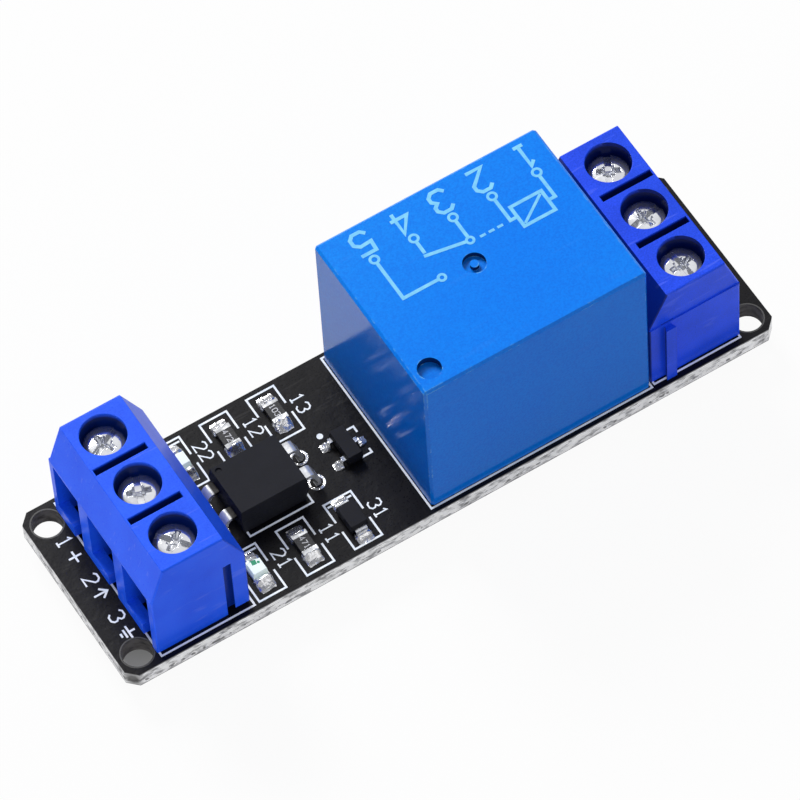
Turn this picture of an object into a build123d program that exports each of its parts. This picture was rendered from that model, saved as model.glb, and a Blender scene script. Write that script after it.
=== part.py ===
from build123d import *
import math
import os

# Relay module board, in millimetres. X runs along the board from the input to the output terminals,
# Y across it, Z up. The origin is under the middle of the board, level with the trimmed pins' tips.

# Circuit board
BOARD_WIDTH = 16.6
BOARD_THICKNESS = 1.6
BOARD_CORNER = 0.8
MOUNT_HOLE_DIAMETER = 2.4
MOUNT_HOLE_FROM_END = 1.63
MOUNT_HOLE_FROM_SIDE = 1.69
TAIL_LENGTH = 1.5
PIN_HOLE_CLEARANCE = 0.05
PAD_THICKNESS = 0.04

# Spacing of the parts along the board
TERMINAL_FROM_END = 2.85
OPTO_FROM_TERMINAL = 5.35
TRANSISTOR_FROM_OPTO = 7.52
RELAY_FROM_TRANSISTOR = 2.73
RELAY_TO_TERMINAL = 0.2
FIRST_COLUMN_FROM_TERMINAL = 1.75
COLUMN_PITCH = 4.13
CHIP_ROW_FROM_SIDE = 2.75

# Terminal block moulding
POLES = 3
POLE_PITCH = 5.0
TERMINAL_DEPTH = 8.0
TERMINAL_HEIGHT = 10.5
SLOPE_RUN = 1.22
SLOPE_DROP = 3.54
BACK_RUN = 1.63
BACK_DROP = 3.42
TERMINAL_ROUND = 0.15
CHAMBER_WIDTH = 3.6
CHAMBER_DEPTH = 5.7
CHAMBER_HEIGHT = 6.4
LINTEL = 0.2
LEAD_IN = 1.7
SILL_HEIGHT = 1.3
SILL_THICKNESS = 0.9
SILL_NOTCH = 1.3
SCREW_HOLE_DIAMETER = 3.6
SCREW_FROM_FACE = 3.6
MARKER_SLOT_LENGTH = 4.45
MARKER_SLOT_WIDTH = 0.6
MARKER_SLOT_DEPTH = 2.5
RAIL_FROM_BACK = 1.6
RAIL_NECK = 0.55
RAIL_HEAD = 0.9
RAIL_PROUD = 0.5
RAIL_HEIGHT = 6.7
RAIL_CLEARANCE = 0.06
RAIL_FOOT = 0.4
END_STEP = 0.12

# Clamp inside each pole
SCREW_DIAMETER = 2.4
SCREW_RUNNING_CLEARANCE = 0.05
SCREW_HEAD_DIAMETER = 3.2
SCREW_HEAD_HEIGHT = 1.1
SCREW_SUNK = 1.1
DRIVE_WIDTH = 0.55
DRIVE_DEPTH = 0.6
DRIVE_CROSS = 2.2
FRAME_THICKNESS = 0.6
FRAME_WIDTH = 3.3
FRAME_CLEARANCE = 0.05
FRAME_BEND = 0.2
FRAME_FROM_BOARD = 0.3
FRAME_BASE_FRONT = 1.4
FRAME_TOP_FRONT = 1.95
FRAME_PIN = 0.9
WIRE_SPACE = 3.4
GUARD_THICKNESS = 0.4
GUARD_WIDTH = 2.7
GUARD_CLEARANCE = 0.1
GUARD_TAIL = 1.0
GUARD_FLARE = 0.4
GUARD_FRONT = 1.75
GUARD_BEND = 0.1

# Relay cover and base
RELAY_LENGTH = 19.3
RELAY_WIDTH = 15.6
RELAY_HEIGHT = 15.5
COVER_WALL = 0.75
COVER_ROOF = 0.9
COVER_DRAFT = 0.15
COVER_BEVEL = 0.2
COVER_SEAT = 0.1
VENT_DIAMETER = 1.85
VENT_DEPTH = 0.6
VENT_FROM_END = 1.55
VENT_FROM_SIDE = 1.8
GATE_DIAMETER = 1.8
GATE_DEPTH = 0.45
GATE_BOSS = 0.7
GATE_BOSS_SUNK = 0.1
GATE_FROM_MIDDLE = 0.5
BASE_FOOT = 0.25
BASE_FOOT_SIZE = 1.4
BASE_FOOT_INSET = 1.2
BASE_THICKNESS = 1.3
BASE_CLEARANCE = 0.1

# Relay magnet and contacts
PIN_FROM_END = 2.55
PIN_FROM_SIDE = 1.8
COIL_PIN_FROM_COMMON = 1.95
COIL_PIN = 0.6
STRIP_THICKNESS = 0.4
STRIP_PIN_WIDTH = 1.2
STRIP_ARM_WIDTH = 2.2
STRIP_BEND = 0.3
STRIP_REACH = 1.4
ROOF_GAP = 0.3
RIVET_DIAMETER = 2.2
RIVET_HEIGHT = 0.4
RIVET_CLEARANCE = 0.1
CONTACT_TRAVEL = 0.55
BLADE_THICKNESS = 0.2
BLADE_WIDTH = 5.0
BLADE_TIP_WIDTH = 3.0
BLADE_OVERHANG = 1.3
LEG_LENGTH = 6.0
LEG_GAP = 0.2
ARMATURE_THICKNESS = 1.0
ARMATURE_INSIDE_YOKE = 0.4
ARMATURE_SETBACK = 0.12
POLE_GAP = 0.06
POLE_LIP = 1.0
POLE_THICKNESS = 0.9
YOKE_THICKNESS = 1.2
YOKE_FROM_PIN = 1.0
BOBBIN_WALL = 0.6
BOBBIN_FLANGE = 0.9
BOBBIN_FIT = 0.05
BOBBIN_FROM_YOKE = 0.2
BOBBIN_FROM_CONTACTS = 1.5
BOBBIN_EAR = 1.6
BOBBIN_EAR_SHIFT = 0.4
WINDING_BELOW_RIM = 0.35
WINDING_DEPTH = 1.45

# Optocoupler
OPTO_LENGTH = 5.85
OPTO_WIDTH = 4.85
OPTO_ABOVE_LEADS = 1.1
OPTO_BELOW_LEADS = 2.0
OPTO_STANDOFF = 0.1
OPTO_DRAFT = 7.0
OPTO_ROW_SPACING = 8.3
OPTO_PIN_PITCH = 2.54
OPTO_LEAD_WIDTH = 1.0
OPTO_LEAD_THICKNESS = 0.3
OPTO_LEAD_BEND = 0.15
OPTO_LEAD_SPLAY = 0.5
OPTO_KNEE = 0.9
OPTO_SHOULDER = 0.5
OPTO_PIN = 0.5
OPTO_MARK_DIAMETER = 0.5
OPTO_MARK_INSET = 0.6
OPTO_MARK_DEPTH = 0.1

# Transistor and diode
TRANSISTOR_WIDTH = 1.3
TRANSISTOR_LENGTH = 2.9
TRANSISTOR_HEIGHT = 1.0
TRANSISTOR_PITCH = 1.9
TRANSISTOR_LEAD_WIDTH = 0.42
TRANSISTOR_LEAD_REACH = 0.75
DIODE_WIDTH = 1.5
DIODE_LENGTH = 2.2
DIODE_HEIGHT = 0.9
DIODE_LEAD_WIDTH = 1.0
DIODE_LEAD_REACH = 0.7
PACKAGE_DRAFT = 7.0
PACKAGE_LIFT = 0.1
GULL_THICKNESS = 0.14
GULL_KNEE = 0.25

# Chip resistors and LEDs
CHIP_LENGTH = 2.0
CHIP_WIDTH = 1.25
CHIP_HEIGHT = 0.55
CHIP_CAP = 0.4
CHIP_CAP_PROUD = 0.02
LED_BASE_HEIGHT = 0.35
LED_LENS_HEIGHT = 0.5
LED_LENS_DRAFT = 8.0

# Solder
FILLET_RUN = 0.65
FILLET_RISE = 0.45
FILLET_OVERLAP = 0.1
FILLET_HOLLOW_RUN = 0.35
FILLET_HOLLOW_RISE = 0.45
FOOT_SOLDER_RUN = 0.3
FOOT_SOLDER_RISE = 0.12
JOINT_PAD_RING = 0.5
JOINT_TIP_RING = 0.12
JOINT_RIM = 0.05
JOINT_SIDES = 8

# Places that follow from the sizes above; heights are measured from the board's top face
TERMINAL_LENGTH = POLES * POLE_PITCH
PARTS_ZONE = OPTO_FROM_TERMINAL + TRANSISTOR_FROM_OPTO + RELAY_FROM_TRANSISTOR
BOARD_LENGTH = (2 * (TERMINAL_FROM_END + TERMINAL_DEPTH) + PARTS_ZONE
                + RELAY_LENGTH + RELAY_TO_TERMINAL)
BOARD_TOP = TAIL_LENGTH + BOARD_THICKNESS
TAIL_Z = -BOARD_TOP
CHIP_ROW = BOARD_WIDTH / 2 - CHIP_ROW_FROM_SIDE
TERMINAL_FACE = BOARD_LENGTH / 2 - TERMINAL_FROM_END
TERMINAL_BACK = TERMINAL_FACE - TERMINAL_DEPTH
SCREW_X = SCREW_FROM_FACE - TERMINAL_FACE
KNEE_Z = TERMINAL_HEIGHT - SLOPE_DROP
POLE_YS = [((POLES - 1) / 2 - i) * POLE_PITCH for i in range(POLES)]
RELAY_END = TERMINAL_BACK - RELAY_TO_TERMINAL
RELAY_START = RELAY_END - RELAY_LENGTH
RELAY_MIDDLE = (RELAY_START + RELAY_END) / 2
OPTO_X = OPTO_FROM_TERMINAL - TERMINAL_BACK
TRANSISTOR_X = OPTO_X + TRANSISTOR_FROM_OPTO
COLUMNS = [FIRST_COLUMN_FROM_TERMINAL - TERMINAL_BACK + i * COLUMN_PITCH for i in range(3)]
LED_PLACES = [(COLUMNS[0], -CHIP_ROW), (COLUMNS[0], CHIP_ROW)]
RESISTOR_PLACES = [(COLUMNS[1], -CHIP_ROW), (COLUMNS[1], CHIP_ROW), (COLUMNS[2], CHIP_ROW)]
DIODE_PLACE = (COLUMNS[2], -CHIP_ROW)
TRANSISTOR_LEADS = [(-1, TRANSISTOR_PITCH / 2), (-1, -TRANSISTOR_PITCH / 2), (1, 0)]

# Heights in the terminal clamp
FRAME_BASE_TOP = FRAME_FROM_BOARD + FRAME_THICKNESS
GUARD_Z = FRAME_BASE_TOP + WIRE_SPACE + GUARD_THICKNESS / 2
SCREW_TIP_Z = GUARD_Z + GUARD_THICKNESS / 2 + SCREW_RUNNING_CLEARANCE
SCREW_HEAD_TOP = TERMINAL_HEIGHT - SCREW_SUNK
SCREW_HEAD_UNDER = SCREW_HEAD_TOP - SCREW_HEAD_HEIGHT
FRAME_BACK = CHAMBER_DEPTH - FRAME_CLEARANCE

# Levels and places inside the relay, with the armature pulled down flat
BASE_TOP = BASE_FOOT + BASE_THICKNESS
COMMON_X = RELAY_START + PIN_FROM_END
CONTACT_X = RELAY_END - PIN_FROM_END
PIN_ROW_Y = RELAY_WIDTH / 2 - PIN_FROM_SIDE
COIL_PIN_X = COMMON_X + COIL_PIN_FROM_COMMON
CLOSED_ARM_Z = RELAY_HEIGHT - COVER_ROOF - ROOF_GAP - STRIP_THICKNESS / 2
BLADE_TOP = (CLOSED_ARM_Z - STRIP_THICKNESS / 2 - 2 * RIVET_HEIGHT - RIVET_CLEARANCE - CONTACT_TRAVEL)
ARMATURE_TOP = BLADE_TOP - BLADE_THICKNESS
ARMATURE_UNDER = ARMATURE_TOP - ARMATURE_THICKNESS
OPEN_ARM_Z = ARMATURE_TOP - 2 * RIVET_HEIGHT - RIVET_CLEARANCE - STRIP_THICKNESS / 2
YOKE_TOP = ARMATURE_UNDER - POLE_GAP
LEG_X = COMMON_X + STRIP_THICKNESS / 2
YOKE_X = LEG_X + BLADE_THICKNESS
BOBBIN_START = YOKE_X + YOKE_THICKNESS + BOBBIN_FROM_YOKE
BOBBIN_END = CONTACT_X - STRIP_ARM_WIDTH / 2 - BOBBIN_FROM_CONTACTS
COIL_X = (BOBBIN_START + BOBBIN_END) / 2
BOBBIN_HALF = (BOBBIN_END - BOBBIN_START) / 2
WINDING_DIAMETER = 2 * (BOBBIN_HALF - WINDING_BELOW_RIM)
CORE_DIAMETER = WINDING_DIAMETER - 2 * (WINDING_DEPTH + BOBBIN_WALL)
POLE_DIAMETER = CORE_DIAMETER + 2 * POLE_LIP
YOKE_WIDTH = 2 * (PIN_ROW_Y - COIL_PIN / 2 - YOKE_FROM_PIN)
ARMATURE_WIDTH = YOKE_WIDTH - 2 * ARMATURE_INSIDE_YOKE
BOBBIN_BOTTOM = BASE_TOP + YOKE_THICKNESS
BOBBIN_TOP = YOKE_TOP - POLE_THICKNESS
ARMATURE_TILT = math.degrees(math.asin(CONTACT_TRAVEL / (CONTACT_X - YOKE_X)))
ARMATURE_AXIS = Axis((YOKE_X, 0, ARMATURE_UNDER), (0, 1, 0))

# Every pin that goes through the board: x, y, size along x, size along y
TERMINAL_PINS = [(side * SCREW_X, y, FRAME_PIN, FRAME_PIN) for side in (1, -1) for y in POLE_YS]
RELAY_PINS = [(COMMON_X, 0, STRIP_THICKNESS, STRIP_PIN_WIDTH)]
RELAY_PINS += [(COIL_PIN_X, side * PIN_ROW_Y, COIL_PIN, COIL_PIN) for side in (1, -1)]
RELAY_PINS += [(CONTACT_X, side * PIN_ROW_Y, STRIP_PIN_WIDTH, STRIP_THICKNESS) for side in (1, -1)]
OPTO_PINS = [(OPTO_X + sx * OPTO_ROW_SPACING / 2, sy * OPTO_PIN_PITCH / 2, OPTO_LEAD_THICKNESS, OPTO_PIN)
             for sx in (1, -1) for sy in (1, -1)]
BOARD_PINS = TERMINAL_PINS + RELAY_PINS + OPTO_PINS


def block(x0, x1, y0, y1, z0, z1):
    """A box between two corners."""
    middle = Pos((x0 + x1) / 2, (y0 + y1) / 2, (z0 + z1) / 2)
    return middle * Box(x1 - x0, y1 - y0, z1 - z0)


def post(x, y, size_x, size_y, z0, z1):
    """An upright rectangular pin centred on x, y."""
    return block(x - size_x / 2, x + size_x / 2, y - size_y / 2, y + size_y / 2, z0, z1)


def rod(x, y, diameter, z0, z1):
    """An upright cylinder centred on x, y."""
    return Pos(x, y, (z0 + z1) / 2) * Cylinder(diameter / 2, z1 - z0)


def folded_strip(points, thickness, bend, width, plane=Plane.XZ):
    """Sheet metal folded along a path of points, with the inner bend radius given."""
    path = FilletPolyline(*points, radius=bend + thickness / 2)
    return extrude(plane * trace(path, thickness), width / 2, both=True)


def drafted_package(length, width, above, below, draft):
    """A moulded package that tapers up and down from its parting line at z = 0."""
    outline = Rectangle(length, width)
    return extrude(outline, above, taper=draft) + extrude(outline, -below, taper=draft)


def circuit_board():
    outline = Rectangle(BOARD_LENGTH, BOARD_WIDTH)
    outline = chamfer(outline.vertices(), BOARD_CORNER)
    hole_x = BOARD_LENGTH / 2 - MOUNT_HOLE_FROM_END
    hole_y = BOARD_WIDTH / 2 - MOUNT_HOLE_FROM_SIDE
    outline -= GridLocations(2 * hole_x, 2 * hole_y, 2, 2) * Circle(MOUNT_HOLE_DIAMETER / 2)
    gap = 2 * PIN_HOLE_CLEARANCE
    outline -= [Pos(x, y) * Rectangle(size_x + gap, size_y + gap) for x, y, size_x, size_y in BOARD_PINS]
    return extrude(outline, -BOARD_THICKNESS)


def rail_section(neck, head, depth):
    """Dovetail section of the rail that locks neighbouring blocks, from the end face outwards."""
    return make_face(Polyline((-neck / 2, 0), (neck / 2, 0), (head / 2, depth), (-head / 2, depth), close=True))


def terminal_housing():
    """One block, wire entries towards -X, made about the input end of the board."""
    half = TERMINAL_LENGTH / 2
    face = -TERMINAL_FACE
    back = -TERMINAL_BACK
    rail_x = back - RAIL_FROM_BACK
    section = make_face(Polyline(
        (face, 0),
        (face, KNEE_Z),
        (face + SLOPE_RUN, TERMINAL_HEIGHT),
        (back - BACK_RUN, TERMINAL_HEIGHT),
        (back, TERMINAL_HEIGHT - BACK_DROP),
        (back, 0),
        close=True))
    housing = extrude(Plane.XZ * section, (TERMINAL_LENGTH - END_STEP) / 2, both=True)
    rim = [edge for end in housing.faces().filter_by(Axis.Y) for edge in end.edges() if edge.center().Z > 0]
    housing = Pos(0, -END_STEP / 2, 0) * fillet(rim, TERMINAL_ROUND)
    skirt = block(face, back, half - END_STEP - TERMINAL_ROUND, half, 0, KNEE_Z)
    housing += fillet(skirt.edges().filter_by(Axis.Z).group_by(Axis.Y)[-1], TERMINAL_ROUND)
    for y in POLE_YS:
        left = y - CHAMBER_WIDTH / 2
        right = y + CHAMBER_WIDTH / 2
        housing -= block(face + SILL_THICKNESS, face + CHAMBER_DEPTH, left, right, 0, CHAMBER_HEIGHT)
        housing -= block(face, face + LEAD_IN, left, right, SILL_HEIGHT, KNEE_Z - LINTEL)
        housing -= block(face, face + SILL_THICKNESS, left, left + SILL_NOTCH, 0, SILL_HEIGHT)
        housing -= rod(SCREW_X, y, SCREW_HOLE_DIAMETER, CHAMBER_HEIGHT, TERMINAL_HEIGHT)
    for upper, lower in zip(POLE_YS, POLE_YS[1:]):
        middle = (upper + lower) / 2
        housing -= block(SCREW_X - MARKER_SLOT_LENGTH / 2, SCREW_X + MARKER_SLOT_LENGTH / 2,
                         middle - MARKER_SLOT_WIDTH / 2, middle + MARKER_SLOT_WIDTH / 2,
                         TERMINAL_HEIGHT - MARKER_SLOT_DEPTH, TERMINAL_HEIGHT)
    tongue = rail_section(RAIL_NECK, RAIL_HEAD, RAIL_PROUD)
    groove = rail_section(RAIL_NECK + 2 * RAIL_CLEARANCE, RAIL_HEAD + 2 * RAIL_CLEARANCE,
                          RAIL_PROUD + RAIL_CLEARANCE)
    housing += Pos(rail_x, half, 0) * extrude(tongue, RAIL_HEIGHT)
    housing -= Pos(rail_x, -half, 0) * extrude(groove, RAIL_HEIGHT + RAIL_CLEARANCE)
    foot = RAIL_PROUD + RAIL_CLEARANCE
    housing -= block(rail_x, back, -half, foot - half, 0, RAIL_FOOT)
    return housing


def contact_frame(y):
    """Strip folded into a C, with the threaded hole above and the solder pin below."""
    face = -TERMINAL_FACE
    base_z = FRAME_FROM_BOARD + FRAME_THICKNESS / 2
    top_z = CHAMBER_HEIGHT - FRAME_THICKNESS / 2
    back = face + FRAME_BACK - FRAME_THICKNESS / 2
    points = [(face + FRAME_BASE_FRONT, base_z), (back, base_z), (back, top_z), (face + FRAME_TOP_FRONT, top_z)]
    frame = Pos(0, y, 0) * folded_strip(points, FRAME_THICKNESS, FRAME_BEND, FRAME_WIDTH)
    thread = SCREW_DIAMETER + 2 * SCREW_RUNNING_CLEARANCE
    frame -= rod(SCREW_X, y, thread, CHAMBER_HEIGHT - FRAME_THICKNESS, CHAMBER_HEIGHT)
    return frame + post(SCREW_X, y, FRAME_PIN, FRAME_PIN, TAIL_Z, FRAME_FROM_BOARD)


def wire_guard(y):
    """Leaf under the screw: a tail down the frame's back and a flared front edge."""
    face = -TERMINAL_FACE
    back = face + FRAME_BACK - FRAME_THICKNESS - GUARD_CLEARANCE - GUARD_THICKNESS / 2
    front = face + GUARD_FRONT
    points = [(back, GUARD_Z - GUARD_TAIL), (back, GUARD_Z), (front, GUARD_Z),
              (front - GUARD_FLARE, GUARD_Z + GUARD_FLARE)]
    return Pos(0, y, 0) * folded_strip(points, GUARD_THICKNESS, GUARD_BEND, GUARD_WIDTH)


def clamp_screw(y):
    """Cheese-head screw with a slot across the head and a cross in its middle."""
    head = rod(SCREW_X, y, SCREW_HEAD_DIAMETER, SCREW_HEAD_UNDER, SCREW_HEAD_TOP)
    shank = rod(SCREW_X, y, SCREW_DIAMETER, SCREW_TIP_Z, SCREW_HEAD_UNDER)
    drive_z = SCREW_HEAD_TOP - DRIVE_DEPTH
    slot = post(SCREW_X, y, SCREW_HEAD_DIAMETER, DRIVE_WIDTH, drive_z, SCREW_HEAD_TOP)
    cross = post(SCREW_X, y, DRIVE_WIDTH, DRIVE_CROSS, drive_z, SCREW_HEAD_TOP)
    return head + shank - slot - cross


def relay_cover():
    wall = 2 * COVER_WALL
    outside = Rectangle(RELAY_LENGTH, RELAY_WIDTH)
    inside = Rectangle(RELAY_LENGTH - wall, RELAY_WIDTH - wall)
    cover = extrude(outside, RELAY_HEIGHT - COVER_SEAT, taper=COVER_DRAFT)
    cover = chamfer([edge for edge in cover.edges() if edge.center().Z > 0], COVER_BEVEL)
    cover -= extrude(inside, RELAY_HEIGHT - COVER_SEAT - COVER_ROOF, taper=COVER_DRAFT)
    cover = Pos(RELAY_MIDDLE, 0, COVER_SEAT) * cover
    vent_x = RELAY_START + VENT_FROM_END
    vent_y = VENT_FROM_SIDE - RELAY_WIDTH / 2
    cover -= rod(vent_x, vent_y, VENT_DIAMETER, RELAY_HEIGHT - VENT_DEPTH, RELAY_HEIGHT)
    gate_x = RELAY_MIDDLE - GATE_FROM_MIDDLE
    gate = rod(gate_x, 0, GATE_DIAMETER, RELAY_HEIGHT - GATE_DEPTH, RELAY_HEIGHT)
    gate -= rod(gate_x, 0, GATE_BOSS, RELAY_HEIGHT - GATE_DEPTH, RELAY_HEIGHT - GATE_BOSS_SUNK)
    return cover - gate


def relay_base():
    """Plate inside the cover's skirt, on four feet, with a hole for each pin."""
    inset = 2 * (COVER_WALL + BASE_CLEARANCE)
    length = RELAY_LENGTH - inset
    width = RELAY_WIDTH - inset
    base = Pos(RELAY_MIDDLE, 0, (BASE_FOOT + BASE_TOP) / 2) * Box(length, width, BASE_THICKNESS)
    feet = GridLocations(length - 2 * BASE_FOOT_INSET, width - 2 * BASE_FOOT_INSET, 2, 2)
    for place in feet:
        corner = place.position
        base += post(RELAY_MIDDLE + corner.X, corner.Y, BASE_FOOT_SIZE, BASE_FOOT_SIZE, 0, BASE_FOOT)
    for x, y, sx, sy in RELAY_PINS:
        base -= post(x, y, sx, sy, 0, BASE_TOP)
    return base


def coil_bobbin():
    """Spool with square rims; the lower rim has two ears that hold the coil pins."""
    rim_y = PIN_ROW_Y - BOBBIN_EAR / 2
    lower_top = BOBBIN_BOTTOM + BOBBIN_FLANGE
    upper_under = BOBBIN_TOP - BOBBIN_FLANGE
    bobbin = block(BOBBIN_START, BOBBIN_END, -rim_y, rim_y, BOBBIN_BOTTOM, lower_top)
    bobbin += block(BOBBIN_START, BOBBIN_END, -rim_y, rim_y, upper_under, BOBBIN_TOP)
    bobbin += rod(COIL_X, 0, CORE_DIAMETER + 2 * BOBBIN_WALL, lower_top, upper_under)
    bobbin -= rod(COIL_X, 0, CORE_DIAMETER + 2 * BOBBIN_FIT, BOBBIN_BOTTOM, BOBBIN_TOP)
    for side in (1, -1):
        bobbin += post(COIL_PIN_X + BOBBIN_EAR_SHIFT, side * PIN_ROW_Y, BOBBIN_EAR, BOBBIN_EAR,
                       BOBBIN_BOTTOM, lower_top)
        bobbin -= post(COIL_PIN_X, side * PIN_ROW_Y, COIL_PIN, COIL_PIN, BOBBIN_BOTTOM, lower_top)
    return bobbin


def coil_winding():
    lower = BOBBIN_BOTTOM + BOBBIN_FLANGE
    upper = BOBBIN_TOP - BOBBIN_FLANGE
    winding = rod(COIL_X, 0, WINDING_DIAMETER, lower, upper)
    return winding - rod(COIL_X, 0, CORE_DIAMETER + 2 * BOBBIN_WALL, lower, upper)


def magnet_core():
    core = rod(COIL_X, 0, CORE_DIAMETER, BASE_TOP, BOBBIN_TOP)
    return core + rod(COIL_X, 0, POLE_DIAMETER, BOBBIN_TOP, YOKE_TOP)


def magnet_yoke():
    """Bent iron plate: a foot under the coil, riveted to the core, and a leg up to the hinge edge."""
    foot_end = COIL_X + CORE_DIAMETER / 2 + YOKE_THICKNESS
    points = [(foot_end, BASE_TOP + YOKE_THICKNESS / 2),
              (YOKE_X + YOKE_THICKNESS / 2, BASE_TOP + YOKE_THICKNESS / 2),
              (YOKE_X + YOKE_THICKNESS / 2, YOKE_TOP)]
    yoke = folded_strip(points, YOKE_THICKNESS, 0, YOKE_WIDTH)
    return yoke - rod(COIL_X, 0, CORE_DIAMETER, BASE_TOP, BOBBIN_BOTTOM)


def lifted(piece):
    """A piece of the armature, turned from its pulled-down place to its rest against the closed contact."""
    return piece.rotate(ARMATURE_AXIS, -ARMATURE_TILT)


def armature():
    start = YOKE_X + ARMATURE_SETBACK
    end = COIL_X + POLE_DIAMETER / 2
    return lifted(block(start, end, -ARMATURE_WIDTH / 2, ARMATURE_WIDTH / 2, ARMATURE_UNDER, ARMATURE_TOP))


def contact_blade():
    """Spring strip on the armature that narrows towards the moving contact."""
    shoulder = COIL_X + POLE_DIAMETER / 2
    tip = CONTACT_X + BLADE_OVERHANG
    outline = make_face(Polyline(
        (YOKE_X, -BLADE_WIDTH / 2),
        (shoulder, -BLADE_WIDTH / 2),
        (tip, -BLADE_TIP_WIDTH / 2),
        (tip, BLADE_TIP_WIDTH / 2),
        (shoulder, BLADE_WIDTH / 2),
        (YOKE_X, BLADE_WIDTH / 2),
        close=True))
    return lifted(Pos(0, 0, ARMATURE_TOP) * extrude(outline, BLADE_THICKNESS))


def moving_rivet():
    """Contact with a face above and below the blade's tip."""
    upper = rod(CONTACT_X, 0, RIVET_DIAMETER, BLADE_TOP, BLADE_TOP + RIVET_HEIGHT)
    lower = rod(CONTACT_X, 0, RIVET_DIAMETER, ARMATURE_TOP - RIVET_HEIGHT, ARMATURE_TOP)
    return lifted(Compound([upper, lower]))


def blade_leg():
    """The blade's clamped end, flat on the yoke's back; the strip flexes between it and the armature."""
    top = ARMATURE_TOP - LEG_GAP
    return block(LEG_X, YOKE_X, -BLADE_WIDTH / 2, BLADE_WIDTH / 2, top - LEG_LENGTH, top)


def common_terminal():
    """Pin of the moving contact, with a lug that lies on the blade's leg."""
    half = STRIP_THICKNESS / 2
    lug_top = ARMATURE_TOP - LEG_GAP - LEG_LENGTH / 2
    lug = block(COMMON_X - half, COMMON_X + half, -BLADE_WIDTH / 2, BLADE_WIDTH / 2, BASE_TOP, lug_top)
    return lug + post(COMMON_X, 0, STRIP_THICKNESS, STRIP_PIN_WIDTH, TAIL_Z, BASE_TOP)


def fixed_contact(side, arm_z):
    """Upright strip from a pin at one side of the base, bent over to the middle."""
    points = [(side * PIN_ROW_Y, BASE_TOP), (side * PIN_ROW_Y, arm_z), (-side * STRIP_REACH, arm_z)]
    strip = Pos(CONTACT_X, 0, 0) * folded_strip(points, STRIP_THICKNESS, STRIP_BEND, STRIP_ARM_WIDTH, Plane.YZ)
    return strip + post(CONTACT_X, side * PIN_ROW_Y, STRIP_PIN_WIDTH, STRIP_THICKNESS, TAIL_Z, BASE_TOP)


def open_rivet():
    arm_top = OPEN_ARM_Z + STRIP_THICKNESS / 2
    return rod(CONTACT_X, 0, RIVET_DIAMETER, arm_top, arm_top + RIVET_HEIGHT)


def closed_rivet():
    arm_under = CLOSED_ARM_Z - STRIP_THICKNESS / 2
    return rod(CONTACT_X, 0, RIVET_DIAMETER, arm_under - RIVET_HEIGHT, arm_under)


def coil_pins():
    top = BOBBIN_BOTTOM + BOBBIN_FLANGE
    return Compound([post(COIL_PIN_X, side * PIN_ROW_Y, COIL_PIN, COIL_PIN, TAIL_Z, top) for side in (1, -1)])


def optocoupler_body():
    lead_z = OPTO_STANDOFF + OPTO_BELOW_LEADS
    package = drafted_package(OPTO_LENGTH, OPTO_WIDTH, OPTO_ABOVE_LEADS, OPTO_BELOW_LEADS, OPTO_DRAFT)
    top = lead_z + OPTO_ABOVE_LEADS
    mark_x = OPTO_X - OPTO_LENGTH / 2 + OPTO_MARK_INSET
    mark_y = OPTO_WIDTH / 2 - OPTO_MARK_INSET
    mark = rod(mark_x, mark_y, OPTO_MARK_DIAMETER, top - OPTO_MARK_DEPTH, top)
    return Pos(OPTO_X, 0, lead_z) * package - mark


def optocoupler_leads():
    """Four leads that leave the parting line, bend down, splay out to their holes and end in a narrow pin."""
    lead_z = OPTO_STANDOFF + OPTO_BELOW_LEADS
    leads = []
    for x, y, thickness, width in OPTO_PINS:
        side = math.copysign(1, x - OPTO_X)
        points = [(OPTO_X + side * OPTO_LENGTH / 2, lead_z), (x - side * OPTO_LEAD_SPLAY, lead_z),
                  (x, OPTO_KNEE), (x, OPTO_SHOULDER)]
        lead = Pos(0, y, 0) * folded_strip(points, thickness, OPTO_LEAD_BEND, OPTO_LEAD_WIDTH)
        leads.append(lead + post(x, y, thickness, width, TAIL_Z, OPTO_SHOULDER))
    return Compound(leads)


def gull_lead(start, reach, width, height):
    """Gull-wing lead along +X from a package side at x = start, on its pad."""
    half = GULL_THICKNESS / 2
    side = width / 2
    knee = start + GULL_KNEE
    top = height + half
    lead = block(start, knee + half, -side, side, height - half, top)
    lead += block(knee - half, knee + half, -side, side, PAD_THICKNESS, top)
    return lead + block(knee - half, start + reach, -side, side, PAD_THICKNESS, PAD_THICKNESS + GULL_THICKNESS)


def transistor_body():
    half = TRANSISTOR_HEIGHT / 2
    package = drafted_package(TRANSISTOR_WIDTH, TRANSISTOR_LENGTH, half, half, PACKAGE_DRAFT)
    return Pos(TRANSISTOR_X, 0, PACKAGE_LIFT + half) * package


def transistor_leads():
    height = PACKAGE_LIFT + TRANSISTOR_HEIGHT / 2
    lead = gull_lead(TRANSISTOR_WIDTH / 2, TRANSISTOR_LEAD_REACH, TRANSISTOR_LEAD_WIDTH, height)
    turned = {1: lead, -1: Rot(0, 0, 180) * lead}
    return Compound([Pos(TRANSISTOR_X, y, 0) * turned[side] for side, y in TRANSISTOR_LEADS])


def diode_body():
    half = DIODE_HEIGHT / 2
    package = drafted_package(DIODE_WIDTH, DIODE_LENGTH, half, half, PACKAGE_DRAFT)
    return Pos(*DIODE_PLACE, PACKAGE_LIFT + half) * package


def diode_leads():
    height = PACKAGE_LIFT + DIODE_HEIGHT / 2
    lead = gull_lead(DIODE_LENGTH / 2, DIODE_LEAD_REACH, DIODE_LEAD_WIDTH, height)
    return Compound([Pos(*DIODE_PLACE, 0) * Rot(0, 0, turn) * lead for turn in (90, -90)])


def resistor_body(place):
    """Ceramic bar between the end caps."""
    x, y = place
    return post(x, y, CHIP_WIDTH, CHIP_LENGTH - 2 * CHIP_CAP, PAD_THICKNESS, PAD_THICKNESS + CHIP_HEIGHT)


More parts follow.
